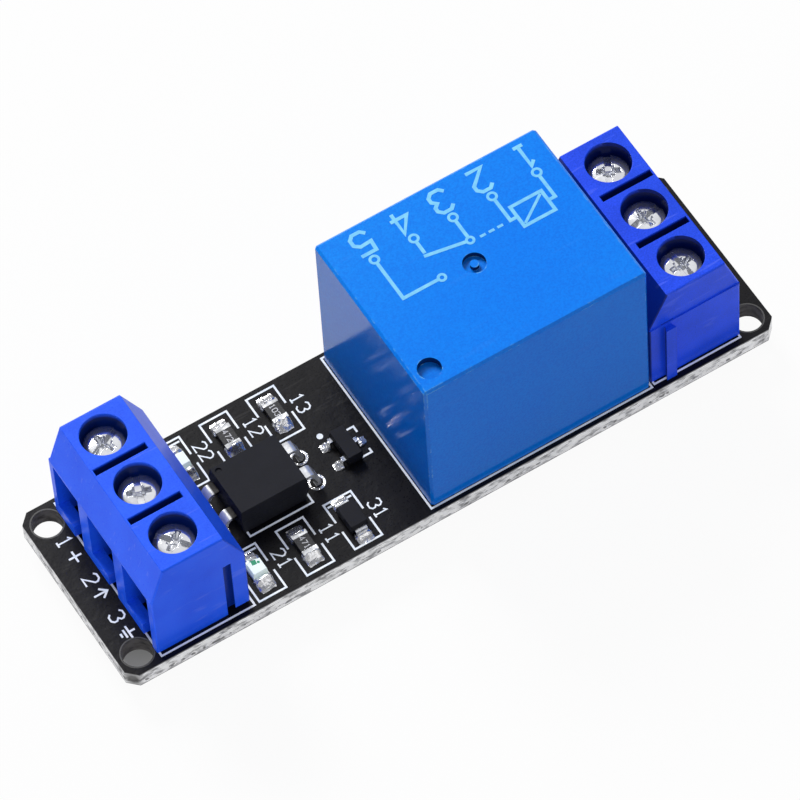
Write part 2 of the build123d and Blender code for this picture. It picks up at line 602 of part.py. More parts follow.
def end_caps(places, height):
    """Metal caps on both ends of each chip."""
    caps = []
    for x, y in places:
        for side in (1, -1):
            middle = y + side * (CHIP_LENGTH - CHIP_CAP) / 2
            caps.append(post(x, middle, CHIP_WIDTH + 2 * CHIP_CAP_PROUD, CHIP_CAP, PAD_THICKNESS,
                             PAD_THICKNESS + height + CHIP_CAP_PROUD))
    return Compound(caps)


def led_base(place):
    x, y = place
    return post(x, y, CHIP_WIDTH, CHIP_LENGTH - 2 * CHIP_CAP, PAD_THICKNESS, PAD_THICKNESS + LED_BASE_HEIGHT)


def led_lens(place):
    """Clear lens cast on the base, with sloping sides."""
    outline = Rectangle(CHIP_WIDTH, CHIP_LENGTH - 2 * CHIP_CAP)
    lens = extrude(outline, LED_LENS_HEIGHT, taper=LED_LENS_DRAFT)
    return Pos(*place, PAD_THICKNESS + LED_BASE_HEIGHT) * lens


def solder_fillet(run, rise, width):
    """Solder that climbs a metal end at x = 0 in a hollow curve and runs out along +X over its pad."""
    hollow = (run * FILLET_HOLLOW_RUN, rise * FILLET_HOLLOW_RISE)
    slope = ThreePointArc((run, 0), hollow, (0, rise))
    section = make_face([Line((0, 0), (run, 0)), slope, Line((0, rise), (0, 0))])
    return extrude(Plane.XZ * section, width / 2, both=True)


def chip_solder():
    """Solder at both ends of every chip and at each lead of the transistor and the diode."""
    width = CHIP_WIDTH + 2 * FILLET_OVERLAP
    joints = []
    for x, y in RESISTOR_PLACES + LED_PLACES:
        for turn in (90, -90):
            end = Pos(x, y, 0) * Rot(0, 0, turn) * Pos(CHIP_LENGTH / 2, 0, 0)
            joints.append(end * solder_fillet(FILLET_RUN, FILLET_RISE, width))
    toe = solder_fillet(FOOT_SOLDER_RUN, PAD_THICKNESS + FOOT_SOLDER_RISE, DIODE_LEAD_WIDTH)
    for turn in (90, -90):
        end = Pos(*DIODE_PLACE, 0) * Rot(0, 0, turn)
        joints.append(end * Pos(DIODE_LENGTH / 2 + DIODE_LEAD_REACH, 0, 0) * toe)
    toe = solder_fillet(FOOT_SOLDER_RUN, PAD_THICKNESS + FOOT_SOLDER_RISE, TRANSISTOR_LEAD_WIDTH)
    for side, y in TRANSISTOR_LEADS:
        end = Pos(TRANSISTOR_X, y, 0) * Rot(0, 0, 90 - 90 * side)
        joints.append(end * Pos(TRANSISTOR_WIDTH / 2 + TRANSISTOR_LEAD_REACH, 0, 0) * toe)
    return Compound(joints)


def pin_solder():
    """Cropped solder cone round every pin under the board, with a few flat sides to keep it light."""
    slope_run = JOINT_PAD_RING - JOINT_TIP_RING
    slope_rise = TAIL_LENGTH - JOINT_RIM
    joints = []
    for x, y, size_x, size_y in BOARD_PINS:
        corner = math.hypot(size_x, size_y) / 2
        cone = extrude(RegularPolygon(corner + JOINT_PAD_RING, JOINT_SIDES), -TAIL_LENGTH)
        tip = cone.faces().sort_by(Axis.Z)[0]
        cone = Pos(x, y, -BOARD_THICKNESS) * chamfer(tip.edges(), slope_run, slope_rise, reference=tip)
        joints.append(cone - post(x, y, size_x, size_y, TAIL_Z, -BOARD_THICKNESS))
    return Compound(joints)


def turned_round(piece):
    """The same piece at the output end of the board."""
    return Rot(0, 0, 180) * piece


def assembly():
    """Every piece by name, with the board's top face at z = 0."""
    pieces = {"circuit_board": circuit_board()}
    pieces["input_terminal_housing"] = terminal_housing()
    pieces["output_terminal_housing"] = turned_round(terminal_housing())
    for number, y in enumerate(POLE_YS, start=1):
        for name, make in (("screw", clamp_screw), ("wire_guard", wire_guard), ("contact", contact_frame)):
            pieces[f"input_{name}_{number}"] = make(y)
            pieces[f"output_{name}_{number}"] = turned_round(make(-y))
    pieces["relay_cover"] = relay_cover()
    pieces["relay_base"] = relay_base()
    pieces["coil_bobbin"] = coil_bobbin()
    pieces["coil_winding"] = coil_winding()
    pieces["coil_pins"] = coil_pins()
    pieces["magnet_core"] = magnet_core()
    pieces["magnet_yoke"] = magnet_yoke()
    pieces["armature"] = armature()
    pieces["contact_blade"] = contact_blade()
    pieces["blade_leg"] = blade_leg()
    pieces["moving_rivet"] = moving_rivet()
    pieces["common_terminal"] = common_terminal()
    pieces["open_contact"] = fixed_contact(-1, OPEN_ARM_Z)
    pieces["open_rivet"] = open_rivet()
    pieces["closed_contact"] = fixed_contact(1, CLOSED_ARM_Z)
    pieces["closed_rivet"] = closed_rivet()
    pieces["optocoupler_body"] = optocoupler_body()
    pieces["optocoupler_leads"] = optocoupler_leads()
    pieces["transistor_body"] = transistor_body()
    pieces["transistor_leads"] = transistor_leads()
    pieces["diode_body"] = diode_body()
    pieces["diode_leads"] = diode_leads()
    for number, place in enumerate(RESISTOR_PLACES, start=1):
        pieces[f"resistor_{number}"] = resistor_body(place)
    pieces["resistor_caps"] = end_caps(RESISTOR_PLACES, CHIP_HEIGHT)
    for number, place in enumerate(LED_PLACES, start=1):
        pieces[f"led_{number}_base"] = led_base(place)
        pieces[f"led_{number}_lens"] = led_lens(place)
    pieces["led_caps"] = end_caps(LED_PLACES, LED_BASE_HEIGHT)
    pieces["chip_solder"] = chip_solder()
    pieces["pin_solder"] = pin_solder()
    return pieces


os.makedirs("parts", exist_ok=True)
for node, piece in assembly().items():
    export_step(Pos(0, 0, BOARD_TOP) * piece, f"parts/{node}.step")
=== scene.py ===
import math

import bmesh
import bpy
from mathutils import Matrix, Vector, noise


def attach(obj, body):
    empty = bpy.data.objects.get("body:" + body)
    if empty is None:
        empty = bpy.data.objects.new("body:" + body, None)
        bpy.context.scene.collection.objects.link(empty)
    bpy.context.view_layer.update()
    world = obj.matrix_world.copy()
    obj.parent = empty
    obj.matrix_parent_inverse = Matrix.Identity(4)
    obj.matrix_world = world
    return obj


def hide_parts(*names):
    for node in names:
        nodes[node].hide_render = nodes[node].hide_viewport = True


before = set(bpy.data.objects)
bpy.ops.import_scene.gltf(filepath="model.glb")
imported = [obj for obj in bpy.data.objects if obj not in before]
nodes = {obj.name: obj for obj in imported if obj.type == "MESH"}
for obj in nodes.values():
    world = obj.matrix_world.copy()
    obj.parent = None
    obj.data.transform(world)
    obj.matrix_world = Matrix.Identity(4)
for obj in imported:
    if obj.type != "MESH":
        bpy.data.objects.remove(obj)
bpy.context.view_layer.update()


# The board is glass-fibre laminate with black solder mask on both faces. It was cut out by a router, so its
# edges show pale, mottled fibres between two dark lines, and the hole walls are bare, with painted shade in
# them. The cut edges have a painted glow, so that they stay bright in the shade.
MM = 0.001


def span(name):
    """The lowest and the highest corner of a CAD piece, in millimetres."""
    corners = [Vector(corner) / MM for corner in nodes[name].bound_box]
    return [Vector([pick(corner[axis] for corner in corners) for axis in range(3)]) for pick in (min, max)]


BOARD_UNDER, BOARD_TOP = (corner.z for corner in span("circuit_board"))
MOUNT_X = 26.77
MOUNT_Y = 6.61
MOUNT_RADIUS = 1.2


def add(tree, kind, inputs=(), **settings):
    """One node with its settings; each input is a plain value or the output of another node."""
    made = tree.nodes.new(kind)
    for key, value in settings.items():
        setattr(made, key, value)
    for key, value in dict(inputs).items():
        if isinstance(value, bpy.types.NodeSocket):
            tree.links.new(value, made.inputs[key])
        else:
            made.inputs[key].default_value = value
    return made


def tint(tree, factor, low, high):
    """A colour that runs from one to another as the factor goes from 0 to 1."""
    low, high = [(*c, 1.0) if isinstance(c, tuple) else c for c in (low, high)]
    return add(tree, "ShaderNodeMix", {0: factor, 6: low, 7: high}, data_type="RGBA").outputs[2]


def spread(tree, value, start, end, low, high):
    """A value between start and end, drawn out to run from low to high."""
    return add(tree, "ShaderNodeMapRange", {0: value, 1: start, 2: end, 3: low, 4: high}).outputs[0]


def blend(tree, factor, low, high):
    """A number that runs from one to another as the factor goes from 0 to 1."""
    return add(tree, "ShaderNodeMix", {0: factor, 2: low, 3: high}, data_type="FLOAT").outputs[0]


def math_node(tree, operation, first, second=0.0):
    return add(tree, "ShaderNodeMath", {0: first, 1: second}, operation=operation).outputs[0]


def times(tree, first, *others):
    """The product of all the values."""
    for other in others:
        first = math_node(tree, "MULTIPLY", first, other)
    return first


def below(tree, value, limit):
    """1 where the value is less than the limit, and 0 elsewhere."""
    return math_node(tree, "LESS_THAN", value, limit)


def off(tree, value, centre):
    """How far a value is from a centre, to either side."""
    return math_node(tree, "ABSOLUTE", math_node(tree, "SUBTRACT", value, centre))


def own_place(tree):
    """Where each spot of the surface lies in the shared frame."""
    return tree.nodes.new("ShaderNodeTexCoord").outputs["Object"]


def split(tree, vector):
    """The X, Y and Z of a vector."""
    return add(tree, "ShaderNodeSeparateXYZ", {0: vector}).outputs


def distance(tree, place, point):
    """How far each spot is from a point, which is given in millimetres."""
    point = tuple(value * MM for value in point)
    return add(tree, "ShaderNodeVectorMath", {0: place, 1: point}, operation="DISTANCE").outputs["Value"]


def patches(tree, place, scale, detail):
    """Soft random patches with values between 0 and 1."""
    return add(tree, "ShaderNodeTexNoise", {"Vector": place, "Scale": scale, "Detail": detail}).outputs[0]


def new_finish(name, metallic=0.0, specular=0.5):
    """A material, its node tree and its shader."""
    finish = bpy.data.materials.new(name)
    finish.use_nodes = True
    shader = finish.node_tree.nodes["Principled BSDF"]
    shader.inputs["Metallic"].default_value = metallic
    shader.inputs["Specular IOR Level"].default_value = specular
    return finish, finish.node_tree, shader


def grain_group():
    """Fine grain, slow clouds and stray scuffs, as every moulded, printed or plated surface here has."""
    group = bpy.data.node_groups.new("surface_grain", "ShaderNodeTree")
    for name, value in (("Grain scale", 9000.0), ("Cloud scale", 400.0)):
        group.interface.new_socket(name, in_out="INPUT", socket_type="NodeSocketFloat").default_value = value
    for name in ("Grain", "Cloud", "Scuffs"):
        group.interface.new_socket(name, in_out="OUTPUT", socket_type="NodeSocketFloat")
    given = group.nodes.new("NodeGroupInput").outputs
    result = group.nodes.new("NodeGroupOutput").inputs
    place = own_place(group)
    turn = {"Vector": place, "Rotation": (0.4, 0.3, 0.7), "Scale": (1.0, 9.0, 4.0)}
    streaks = patches(group, add(group, "ShaderNodeMapping", turn).outputs[0], given["Cloud scale"], 2.0)
    group.links.new(patches(group, place, given["Grain scale"], 3.0), result["Grain"])
    group.links.new(patches(group, place, given["Cloud scale"], 5.0), result["Cloud"])
    group.links.new(spread(group, streaks, 0.64, 0.72, 0.0, 1.0), result["Scuffs"])
    return group


surface_grain = grain_group()


def grain_outputs(tree, grain_scale, cloud_scale):
    """The grain group placed in a material, with scales of its own."""
    made = tree.nodes.new("ShaderNodeGroup")
    made.node_tree = surface_grain
    made.inputs["Grain scale"].default_value = grain_scale
    made.inputs["Cloud scale"].default_value = cloud_scale
    return made.outputs


def coat(tree, shader, colour, rough):
    """The surface's colour and how rough it is."""
    tree.links.new(colour, shader.inputs["Base Color"])
    tree.links.new(rough, shader.inputs["Roughness"])


def paint_glow(tree, shader, colour, strength):
    """A painted glow: light that comes out of the surface, though it is no lamp."""
    tree.links.new(colour, shader.inputs["Emission Color"])
    shader.inputs["Emission Strength"].default_value = strength


def roughen(tree, shader, height, depth, edge_round=0.0):
    """Relief on the surface, depth in metres; sharp edges catch the light as if rounded by edge_round."""
    inputs = {"Height": height, "Distance": depth, "Strength": 1.0}
    if edge_round:
        inputs["Normal"] = add(tree, "ShaderNodeBevel", {"Radius": edge_round}, samples=4).outputs[0]
    tree.links.new(add(tree, "ShaderNodeBump", inputs).outputs[0], shader.inputs["Normal"])


def cut_edge(tree, place):
    """The cut edge's colour and its fibres: pale bundles, torn specks low down, a dark line at each face."""
    height = split(tree, place)["Z"]
    stretched = add(tree, "ShaderNodeMapping", {"Vector": place, "Scale": (0.7, 0.7, 1.5)}).outputs[0]
    bundles = times(tree, patches(tree, stretched, 1400.0, 2.0), 0.7)
    threads = times(tree, patches(tree, stretched, 4200.0, 2.0), 0.3)
    fibre = spread(tree, math_node(tree, "ADD", bundles, threads), 0.36, 0.57, 0.0, 1.0)
    edge = tint(tree, fibre, (0.30, 0.30, 0.31), (0.97, 0.97, 0.97))
    low_band = spread(tree, off(tree, height, (BOARD_UNDER + 0.42) * MM), 0.10 * MM, 0.20 * MM, 1.0, 0.0)
    torn = spread(tree, patches(tree, place, 2000.0, 1.0), 0.57, 0.64, 0.0, 0.8)
    edge = tint(tree, times(tree, low_band, torn), edge, (0.10, 0.10, 0.105))
    near_top = spread(tree, height, (BOARD_TOP - 0.26) * MM, (BOARD_TOP - 0.08) * MM, 0.0, 1.0)
    edge = tint(tree, near_top, edge, (0.03, 0.03, 0.032))
    near_under = spread(tree, height, (BOARD_UNDER + 0.12) * MM, (BOARD_UNDER + 0.04) * MM, 0.0, 0.75)
    edge = tint(tree, near_under, edge, (0.08, 0.08, 0.082))
    smudge = distance(tree, place, (-28.0, -7.95, (BOARD_TOP + BOARD_UNDER) / 2))
    edge = tint(tree, spread(tree, smudge, 0.35 * MM, 0.95 * MM, 0.85, 0.0), edge, (0.03, 0.028, 0.026))
    return edge, fibre


def board_finish():
    finish, tree, shader = new_finish("black_mask_on_laminate", specular=0.16)
    coords = tree.nodes.new("ShaderNodeTexCoord").outputs
    place = coords["Object"]
    upright = math_node(tree, "ABSOLUTE", split(tree, coords["Normal"])["Z"])
    on_face = math_node(tree, "GREATER_THAN", upright, 0.5)
    grain = grain_outputs(tree, 7000.0, 260.0)
    mask = tint(tree, grain["Cloud"], (0.0045, 0.0042, 0.0054), (0.0105, 0.0098, 0.0112))
    mask = tint(tree, times(tree, grain["Scuffs"], 0.25), mask, (0.06, 0.058, 0.055))
    edge, fibre = cut_edge(tree, place)
    folded = add(tree, "ShaderNodeVectorMath", {0: place}, operation="ABSOLUTE").outputs[0]
    flat = add(tree, "ShaderNodeVectorMath", {0: folded, 1: (1.0, 1.0, 0.0)}, operation="MULTIPLY").outputs[0]
    # Painted shade in the mounting holes: their bare walls are much darker than the cut edges.
    in_hole = below(tree, distance(tree, flat, (MOUNT_X, MOUNT_Y, 0.0)), (MOUNT_RADIUS + 0.15) * MM)
    bare = tint(tree, fibre, (0.040, 0.038, 0.039), (0.11, 0.105, 0.105))
    edge = tint(tree, in_hole, edge, bare)
    mask_rough = spread(tree, grain["Grain"], 0.2, 0.8, 0.24, 0.36)
    coat(tree, shader, tint(tree, on_face, edge, mask), blend(tree, on_face, 0.75, mask_rough))
    # Painted glow on the cut edges and hole walls, none on the mask.
    paint_glow(tree, shader, tint(tree, on_face, edge, (0.0, 0.0, 0.0)), 0.22)
    relief = math_node(tree, "ADD", grain["Grain"], times(tree, fibre, 2.0))
    roughen(tree, shader, relief, 0.003 * MM)
    return finish


def dress(node_names, finish):
    """The finish on CAD pieces that keep their own shape."""
    for name in node_names:
        nodes[name].data.materials.clear()
        nodes[name].data.materials.append(finish)


black_mask = board_finish()
dress(["circuit_board"], black_mask)


# The legend is bluish white ink, screen printed on the mask: outlines of every part and plain numbers beside
# them. The outlines are 0.16 mm wide and stand a hundredth of a millimetre or two proud. The ink has a
# painted glow, so that it shows well in the shade.
INK_LINE = 0.16
INK_THICK = 0.018
INK_SUNK = 0.004
LAP_RISE = 0.003

DIGIT_STROKES = {
    "0": [[(1, 0), (3, 0), (4, 1), (4, 5), (3, 6), (1, 6), (0, 5), (0, 1), (1, 0)]],
    "1": [[(0.8, 4.8), (2, 6), (2, 0)], [(0.8, 0), (3.2, 0)]],
    "2": [[(0, 5), (1, 6), (3, 6), (4, 5), (4, 3.8), (0, 0), (4, 0)]],
    "3": [[(0, 5), (1, 6), (3, 6), (4, 5), (4, 4), (3, 3.1), (4, 2.2), (4, 1), (3, 0), (1, 0), (0, 1)]],
    "4": [[(3, 0), (3, 6), (0, 1.8), (2.4, 1.8)], [(2.2, 1.8), (4.2, 1.8)]],
    "5": [[(4, 6), (0.2, 6), (0, 3.4), (2.8, 3.6), (4, 2.6), (4, 1), (3, 0), (1, 0), (0, 1)]],
    "7": [[(0, 6), (4, 6), (1.4, 0)]],
}
DIGIT_HEIGHT = 6
DIGIT_WIDTH = 4
DIGIT_ADVANCE = 5.6


def stroke(mesh, points, width, low, high):
    """Adds one printed line to a mesh: a flat ribbon with mitred corners, as a closed solid."""
    path = [Vector(point) for point in points]
    closed = (path[0] - path[-1]).length < 1e-6
    if closed:
        path.pop()
    count = len(path)
    rings = []
    for i, here in enumerate(path):
        arriving = here - path[i - 1] if closed or i > 0 else path[i + 1] - here
        leaving = path[(i + 1) % count] - here if closed or i < count - 1 else arriving
        arriving, leaving = arriving.normalized(), leaving.normalized()
        along = (arriving + leaving).normalized()
        reach = width / 2 / max(0.5, along.dot(arriving))
        across = Vector((-along.y, along.x)) * reach
        corners = [(here + across, low), (here - across, low), (here - across, high), (here + across, high)]
        rings.append([mesh.verts.new((p.x * MM, p.y * MM, z * MM)) for p, z in corners])
    pairs = list(zip(rings, rings[1:]))
    if closed:
        pairs.append((rings[-1], rings[0]))
    for first, second in pairs:
        for k in range(4):
            mesh.faces.new((first[k], second[k], second[(k + 1) % 4], first[(k + 1) % 4]))
    if not closed:
        mesh.faces.new(rings[0])
        mesh.faces.new(reversed(rings[-1]))


def number(mesh, digits, centre, along, height, line, low, high):
    """Adds a printed number, centred on a point and read in the direction along."""
    along = Vector(along)
    up = Vector((-along.y, along.x))
    size = height / DIGIT_HEIGHT
    length = (DIGIT_ADVANCE * (len(digits) - 1) + DIGIT_WIDTH) * size
    start = Vector(centre) - along * length / 2 - up * height / 2
    for place, digit in enumerate(digits):
        corner = start + along * DIGIT_ADVANCE * size * place
        for k, path in enumerate(DIGIT_STROKES[digit]):
            points = [corner + along * x * size + up * y * size for x, y in path]
            stroke(mesh, points, line, low, high + LAP_RISE * k)


def ring(mesh, centre, radius, width, low, high, sides=32):
    """Adds a flat ring as a closed solid."""
    turns = [2 * math.pi * i / sides for i in range(sides + 1)]
    points = [(centre[0] + radius * math.cos(a), centre[1] + radius * math.sin(a)) for a in turns]
    stroke(mesh, points, width, low, high)


def loose_object(name, mesh):
    """An object from a mesh that is in its place, with the faces turned outwards."""
    bmesh.ops.recalc_face_normals(mesh, faces=mesh.faces)
    data = bpy.data.meshes.new(name)
    mesh.to_mesh(data)
    mesh.free()
    made = bpy.data.objects.new(name, data)
    bpy.context.scene.collection.objects.link(made)
    return made


def make_piece(name, mesh, finish, body, smooth=None):
    """A finished piece from a mesh that is in its place, with its finish and the body that it rides on."""
    piece = loose_object(name, mesh)
    if smooth is not None:
        piece.data.shade_smooth()
        piece.data.set_sharp_from_angle(angle=math.radians(smooth))
    piece.data.materials.append(finish)
    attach(piece, body)
    return piece


def ink_finish(name, pale, deep, glow=0.0):
    finish, tree, shader = new_finish(name, specular=0.35)
    grain = grain_outputs(tree, 12000.0, 1500.0)
    colour = tint(tree, spread(tree, grain["Cloud"], 0.3, 0.7, 0.0, 1.0), deep, pale)
    coat(tree, shader, colour, spread(tree, grain["Grain"], 0.2, 0.8, 0.45, 0.65))
    # A painted glow in the ink's own colour, as strong as glow.
    paint_glow(tree, shader, colour, glow)
    roughen(tree, shader, grain["Grain"], 0.002 * MM)
    return finish


legend = bmesh.new()
legend_levels = (BOARD_TOP - INK_SUNK, BOARD_TOP + INK_THICK)


def outline(points):
    stroke(legend, points, INK_LINE, *legend_levels)


def chip_outline(x0, x1, y0, y1, doubled):
    """Two brackets round a chip, open in the middle of its long sides; a diode's cathode end is doubled."""
    middle_y = (y0 + y1) / 2
    outline([(x0, middle_y - 0.45), (x0, y0), (x1, y0), (x1, middle_y - 0.45)])
    outline([(x0, middle_y + 0.45), (x0, y1), (x1, y1), (x1, middle_y + 0.45)])
    if doubled:
        outline([(x0 + INK_LINE, y1 - 0.36), (x1 - INK_LINE, y1 - 0.36)])


CHIP_ROW = 5.55
BRACKET_REACH = 2.26
for x0, x1, row, doubled in (
    (-12.85, -10.5, -1, False), (-12.85, -10.5, 1, False), (-8.75, -6.36, 1, False),
    (-8.7, -6.33, -1, True), (-16.98, -14.65, -1, True), (-16.98, -14.65, 1, True),
):
    chip_outline(x0, x1, row * CHIP_ROW - BRACKET_REACH, row * CHIP_ROW + BRACKET_REACH, doubled)
for side in (1, -1):
    outline([(-14.63, side * 1.65), (-14.63, side * 2.6), (-9.17, side * 2.6), (-9.17, side * 1.65)])
outline([(-4.0, 1.43), (-3.2, 1.43), (-3.2, 0.86)])
outline([(-3.2, -0.83), (-3.2, -1.24), (-4.05, -1.24)])
outline([(-2.08, -7.9), (17.42, -7.9), (17.42, 7.9), (-2.08, 7.9), (-2.08, -7.9)])
outline([(-25.4, -7.85), (-17.4, -7.85), (-17.4, 7.85), (-25.4, 7.85), (-25.4, -7.85)])
outline([(25.4, -7.75), (17.72, -7.75), (17.72, 7.75), (25.4, 7.75), (25.4, -7.75)])
ring(legend, (-5.76, 2.05), 0.13, 0.24, *legend_levels, sides=16)

# Each input terminal has its number and a plain sign: a plus, an arrow and an earth.
DOWN_BOARD = (0.0, -1.0)
for digits, place in (("1", (-26.47, 4.55)), ("2", (-26.47, 0.65)), ("3", (-26.47, -3.1))):
    number(legend, digits, place, DOWN_BOARD, 1.15, 0.14, *legend_levels)
outline([(-27.0, 3.0), (-25.94, 3.0)])
outline([(-26.47, 3.53), (-26.47, 2.47)])
outline([(-27.05, -0.8), (-25.98, -0.8)])
outline([(-26.45, -0.35), (-25.92, -0.8), (-26.45, -1.25)])
outline([(-25.9, -4.75), (-26.35, -4.75)])
for x, half in ((-26.4, 0.58), (-26.71, 0.38), (-27.02, 0.18)):
    outline([(x, half - 4.75), (x, -half - 4.75)])
for digits, place in (
    ("11", (-9.55, -5.55)), ("12", (-9.5, 5.5)), ("13", (-5.45, 5.4)),
    ("31", (-5.4, -5.65)), ("21", (-13.65, -5.5)), ("22", (-13.75, 5.7)),
):
    number(legend, digits, place, DOWN_BOARD, 1.0, 0.125, *legend_levels)
# The white ink has a painted glow.
white_ink = ink_finish("white_legend_ink", (0.95, 0.98, 1.0), (0.72, 0.79, 0.88), glow=0.18)
make_piece("board_legend", legend, white_ink, "board")


# The terminal blocks are satin blue nylon mouldings, locked to a neighbour by a dovetail rail on one end. The
# screw holes, marker slots, wire entries and rail groove have painted shade inside, and so has the side
# turned to the middle of the board. All faces have a painted glow, strongest on those turned outwards, so
# that they are never quite dark on the shaded side.
def middle(name):
    """The middle of a CAD piece seen from above, in millimetres."""
    low, high = span(name)
    return ((low + high) / 2).xy


SCREW_X = middle("output_screw_1").x
POLE_PITCH = 5.0
HOUSING_TOP = span("input_terminal_housing")[1].z
SCREW_HOLE_RADIUS = 1.83
MARKER_SLOT_HALF = 0.305
MARKER_SLOT_REACH = 2.24
ENTRY_HALF = 1.82
ENTRY_TOP = 9.9
ENTRY_BACK = 17.8
GROOVE_X = 19.15
GROOVE_HALF = 0.54
GROOVE_END = 7.40
GROOVE_TOP = 10.1


def painted_hollow_shade(tree, spot):
    """Where shade is painted: 1 inside the screw holes, marker slots and wire entries, a little less in the
    rail's groove.
    """
    out = math_node(tree, "ABSOLUTE", spot["X"])
    across = math_node(tree, "ABSOLUTE", spot["Y"])
    below_top = math_node(tree, "SUBTRACT", HOUSING_TOP * MM, spot["Z"])
    from_screw = off(tree, out, SCREW_X * MM)
    from_pole = math_node(tree, "PINGPONG", spot["Y"], POLE_PITCH / 2 * MM)
    squares = math_node(tree, "ADD", times(tree, from_screw, from_screw), times(tree, from_pole, from_pole))
    in_hole = times(tree, below(tree, math_node(tree, "SQRT", squares), SCREW_HOLE_RADIUS * MM),
                    spread(tree, below_top, 0.02 * MM, 0.5 * MM, 0.0, 1.0))
    past_slots = math_node(tree, "GREATER_THAN", across, POLE_PITCH * MM)
    from_slot = math_node(tree, "SUBTRACT", POLE_PITCH / 2 * MM, from_pole)
    in_slot = times(tree, below(tree, math_node(tree, "ADD", from_slot, past_slots), MARKER_SLOT_HALF * MM),
                    below(tree, from_screw, MARKER_SLOT_REACH * MM),
                    spread(tree, below_top, 0.02 * MM, 0.3 * MM, 0.0, 1.0))
    in_entry = times(tree, below(tree, from_pole, ENTRY_HALF * MM), below(tree, spot["Z"], ENTRY_TOP * MM),
                     spread(tree, out, 25.2 * MM, 23.4 * MM, 0.0, 1.0),
                     math_node(tree, "GREATER_THAN", out, ENTRY_BACK * MM))
    in_groove = times(tree, below(tree, off(tree, out, GROOVE_X * MM), GROOVE_HALF * MM),
                      below(tree, across, GROOVE_END * MM), below(tree, spot["Z"], GROOVE_TOP * MM), 0.8)
    inside = in_hole
    for hollow in (in_slot, in_entry, in_groove):
        inside = math_node(tree, "MAXIMUM", inside, hollow)
    return inside


def nylon_finish(name, colour, back_painted_shade):
    """Blue nylon; the side turned to the middle of the board has painted shade, as deep as
    back_painted_shade.
    """
    finish, tree, shader = new_finish(name, specular=0.2)
    grain = grain_outputs(tree, 8000.0, 320.0)
    deep = tuple(c * 0.84 for c in colour)
    pale = tuple(min(1.0, c * 1.12 + 0.004) for c in colour)
    uneven = spread(tree, math_node(tree, "ADD", grain["Cloud"], grain["Grain"]), 0.78, 1.22, 0.0, 1.0)
    body = tint(tree, uneven, deep, pale)
    body = tint(tree, times(tree, grain["Scuffs"], 0.22), body, (0.16, 0.24, 0.95))
    coords = tree.nodes.new("ShaderNodeTexCoord").outputs
    spot = split(tree, coords["Object"])
    facing = times(tree, split(tree, coords["Normal"])["X"], math_node(tree, "SIGN", spot["X"]))
    # Painted shade in the hollows and on the side turned to the middle of the board.
    back = spread(tree, facing, -0.2, -0.35, 0.0, back_painted_shade)
    shade = times(tree, math_node(tree, "MAXIMUM", painted_hollow_shade(tree, spot), back), 0.92)
    body = tint(tree, shade, body, tuple(c * 0.03 for c in colour))
    coat(tree, shader, body, spread(tree, grain["Grain"], 0.25, 0.75, 0.26, 0.40))
    # A painted glow in the body colour, weaker on faces turned to the middle of the board.
    paint_glow(tree, shader, tint(tree, spread(tree, facing, 0.1, 0.4, 0.48, 1.0), (0.0, 0.0, 0.0), body), 0.30)
    roughen(tree, shader, grain["Grain"], 0.0018 * MM, edge_round=0.09 * MM)
    return finish


dress(["input_terminal_housing"], nylon_finish("input_nylon", (0.009, 0.100, 1.0), 0.3))
dress(["output_terminal_housing"], nylon_finish("output_nylon", (0.007, 0.064, 0.78), 0.8))


# The clamp screws are bright zinc-plated steel, with a slightly domed cheese head that takes a flat blade or
# a cross driver. They were left at different turns when the board was tested.
def metal_finish(name, bright, dull, smooth, rough, lump_scale, lump, metallic=1.0):
    """Bare metal that is duller and rougher in patches, with lumps of a depth in metres."""
    finish, tree, shader = new_finish(name, metallic=metallic)
    grain = grain_outputs(tree, 9000.0, lump_scale)
    colour = tint(tree, spread(tree, grain["Cloud"], 0.35, 0.65, 0.0, 1.0), dull, bright)
    wear = math_node(tree, "ADD", times(tree, grain["Scuffs"], 0.12),
                     spread(tree, grain["Cloud"], 0.35, 0.65, smooth, rough))
    coat(tree, shader, colour, wear)
    height = math_node(tree, "ADD", grain["Cloud"], times(tree, grain["Grain"], 0.04))
    roughen(tree, shader, height, lump, edge_round=0.04 * MM)
    return finish


zinc_plate = metal_finish("zinc_plate", (0.97, 0.98, 1.0), (0.84, 0.85, 0.88), 0.06, 0.14, 1100.0,
                          0.014 * MM, 0.9)
SCREW_TIP, SCREW_TOP = (corner.z for corner in span("output_screw_1"))
THREAD_PITCH = 0.45
THREAD_END = 11.0
HEAD_UNDER = 11.4
HEAD_RADIUS = 1.6


def lathe(mesh, profile, sides):
    """Adds a turned solid about the Z axis from its profile of radius and height, closed at both ends."""
    rings = []
    turns = [2 * math.pi * i / sides for i in range(sides)]
    for radius, height in profile:
        points = [(radius * math.cos(a), radius * math.sin(a)) for a in turns] if radius else [(0, 0)]
        rings.append([mesh.verts.new((x * MM, y * MM, height * MM)) for x, y in points])
    for lower, upper in zip(rings, rings[1:]):
        for i in range(sides):
            k = (i + 1) % sides
            if len(lower) == 1:
                mesh.faces.new((lower[0], upper[k], upper[i]))
            elif len(upper) == 1:
                mesh.faces.new((lower[i], lower[k], upper[0]))
            else:
                mesh.faces.new((lower[i], lower[k], upper[k], upper[i]))


def box(mesh, z, size_x, size_y, size_z, lower_x, lower_y):
    """Adds a block centred on the Z axis; its lower face has sizes of its own."""
    corners = []
    for wide, deep, level in ((lower_x, lower_y, z - size_z / 2), (size_x, size_y, z + size_z / 2)):
        for sx, sy in ((-1, -1), (1, -1), (1, 1), (-1, 1)):
            corners.append(mesh.verts.new((sx * wide / 2 * MM, sy * deep / 2 * MM, level * MM)))
    low, high = corners[:4], corners[4:]
    mesh.faces.new(reversed(low))
    mesh.faces.new(high)
    for i in range(4):
        mesh.faces.new((low[i], low[(i + 1) % 4], high[(i + 1) % 4], high[i]))


def plain_mesh(made):
    """The object's shape with its modifiers applied."""
    evaluated = made.evaluated_get(bpy.context.evaluated_depsgraph_get())
    return bpy.data.meshes.new_from_object(evaluated)


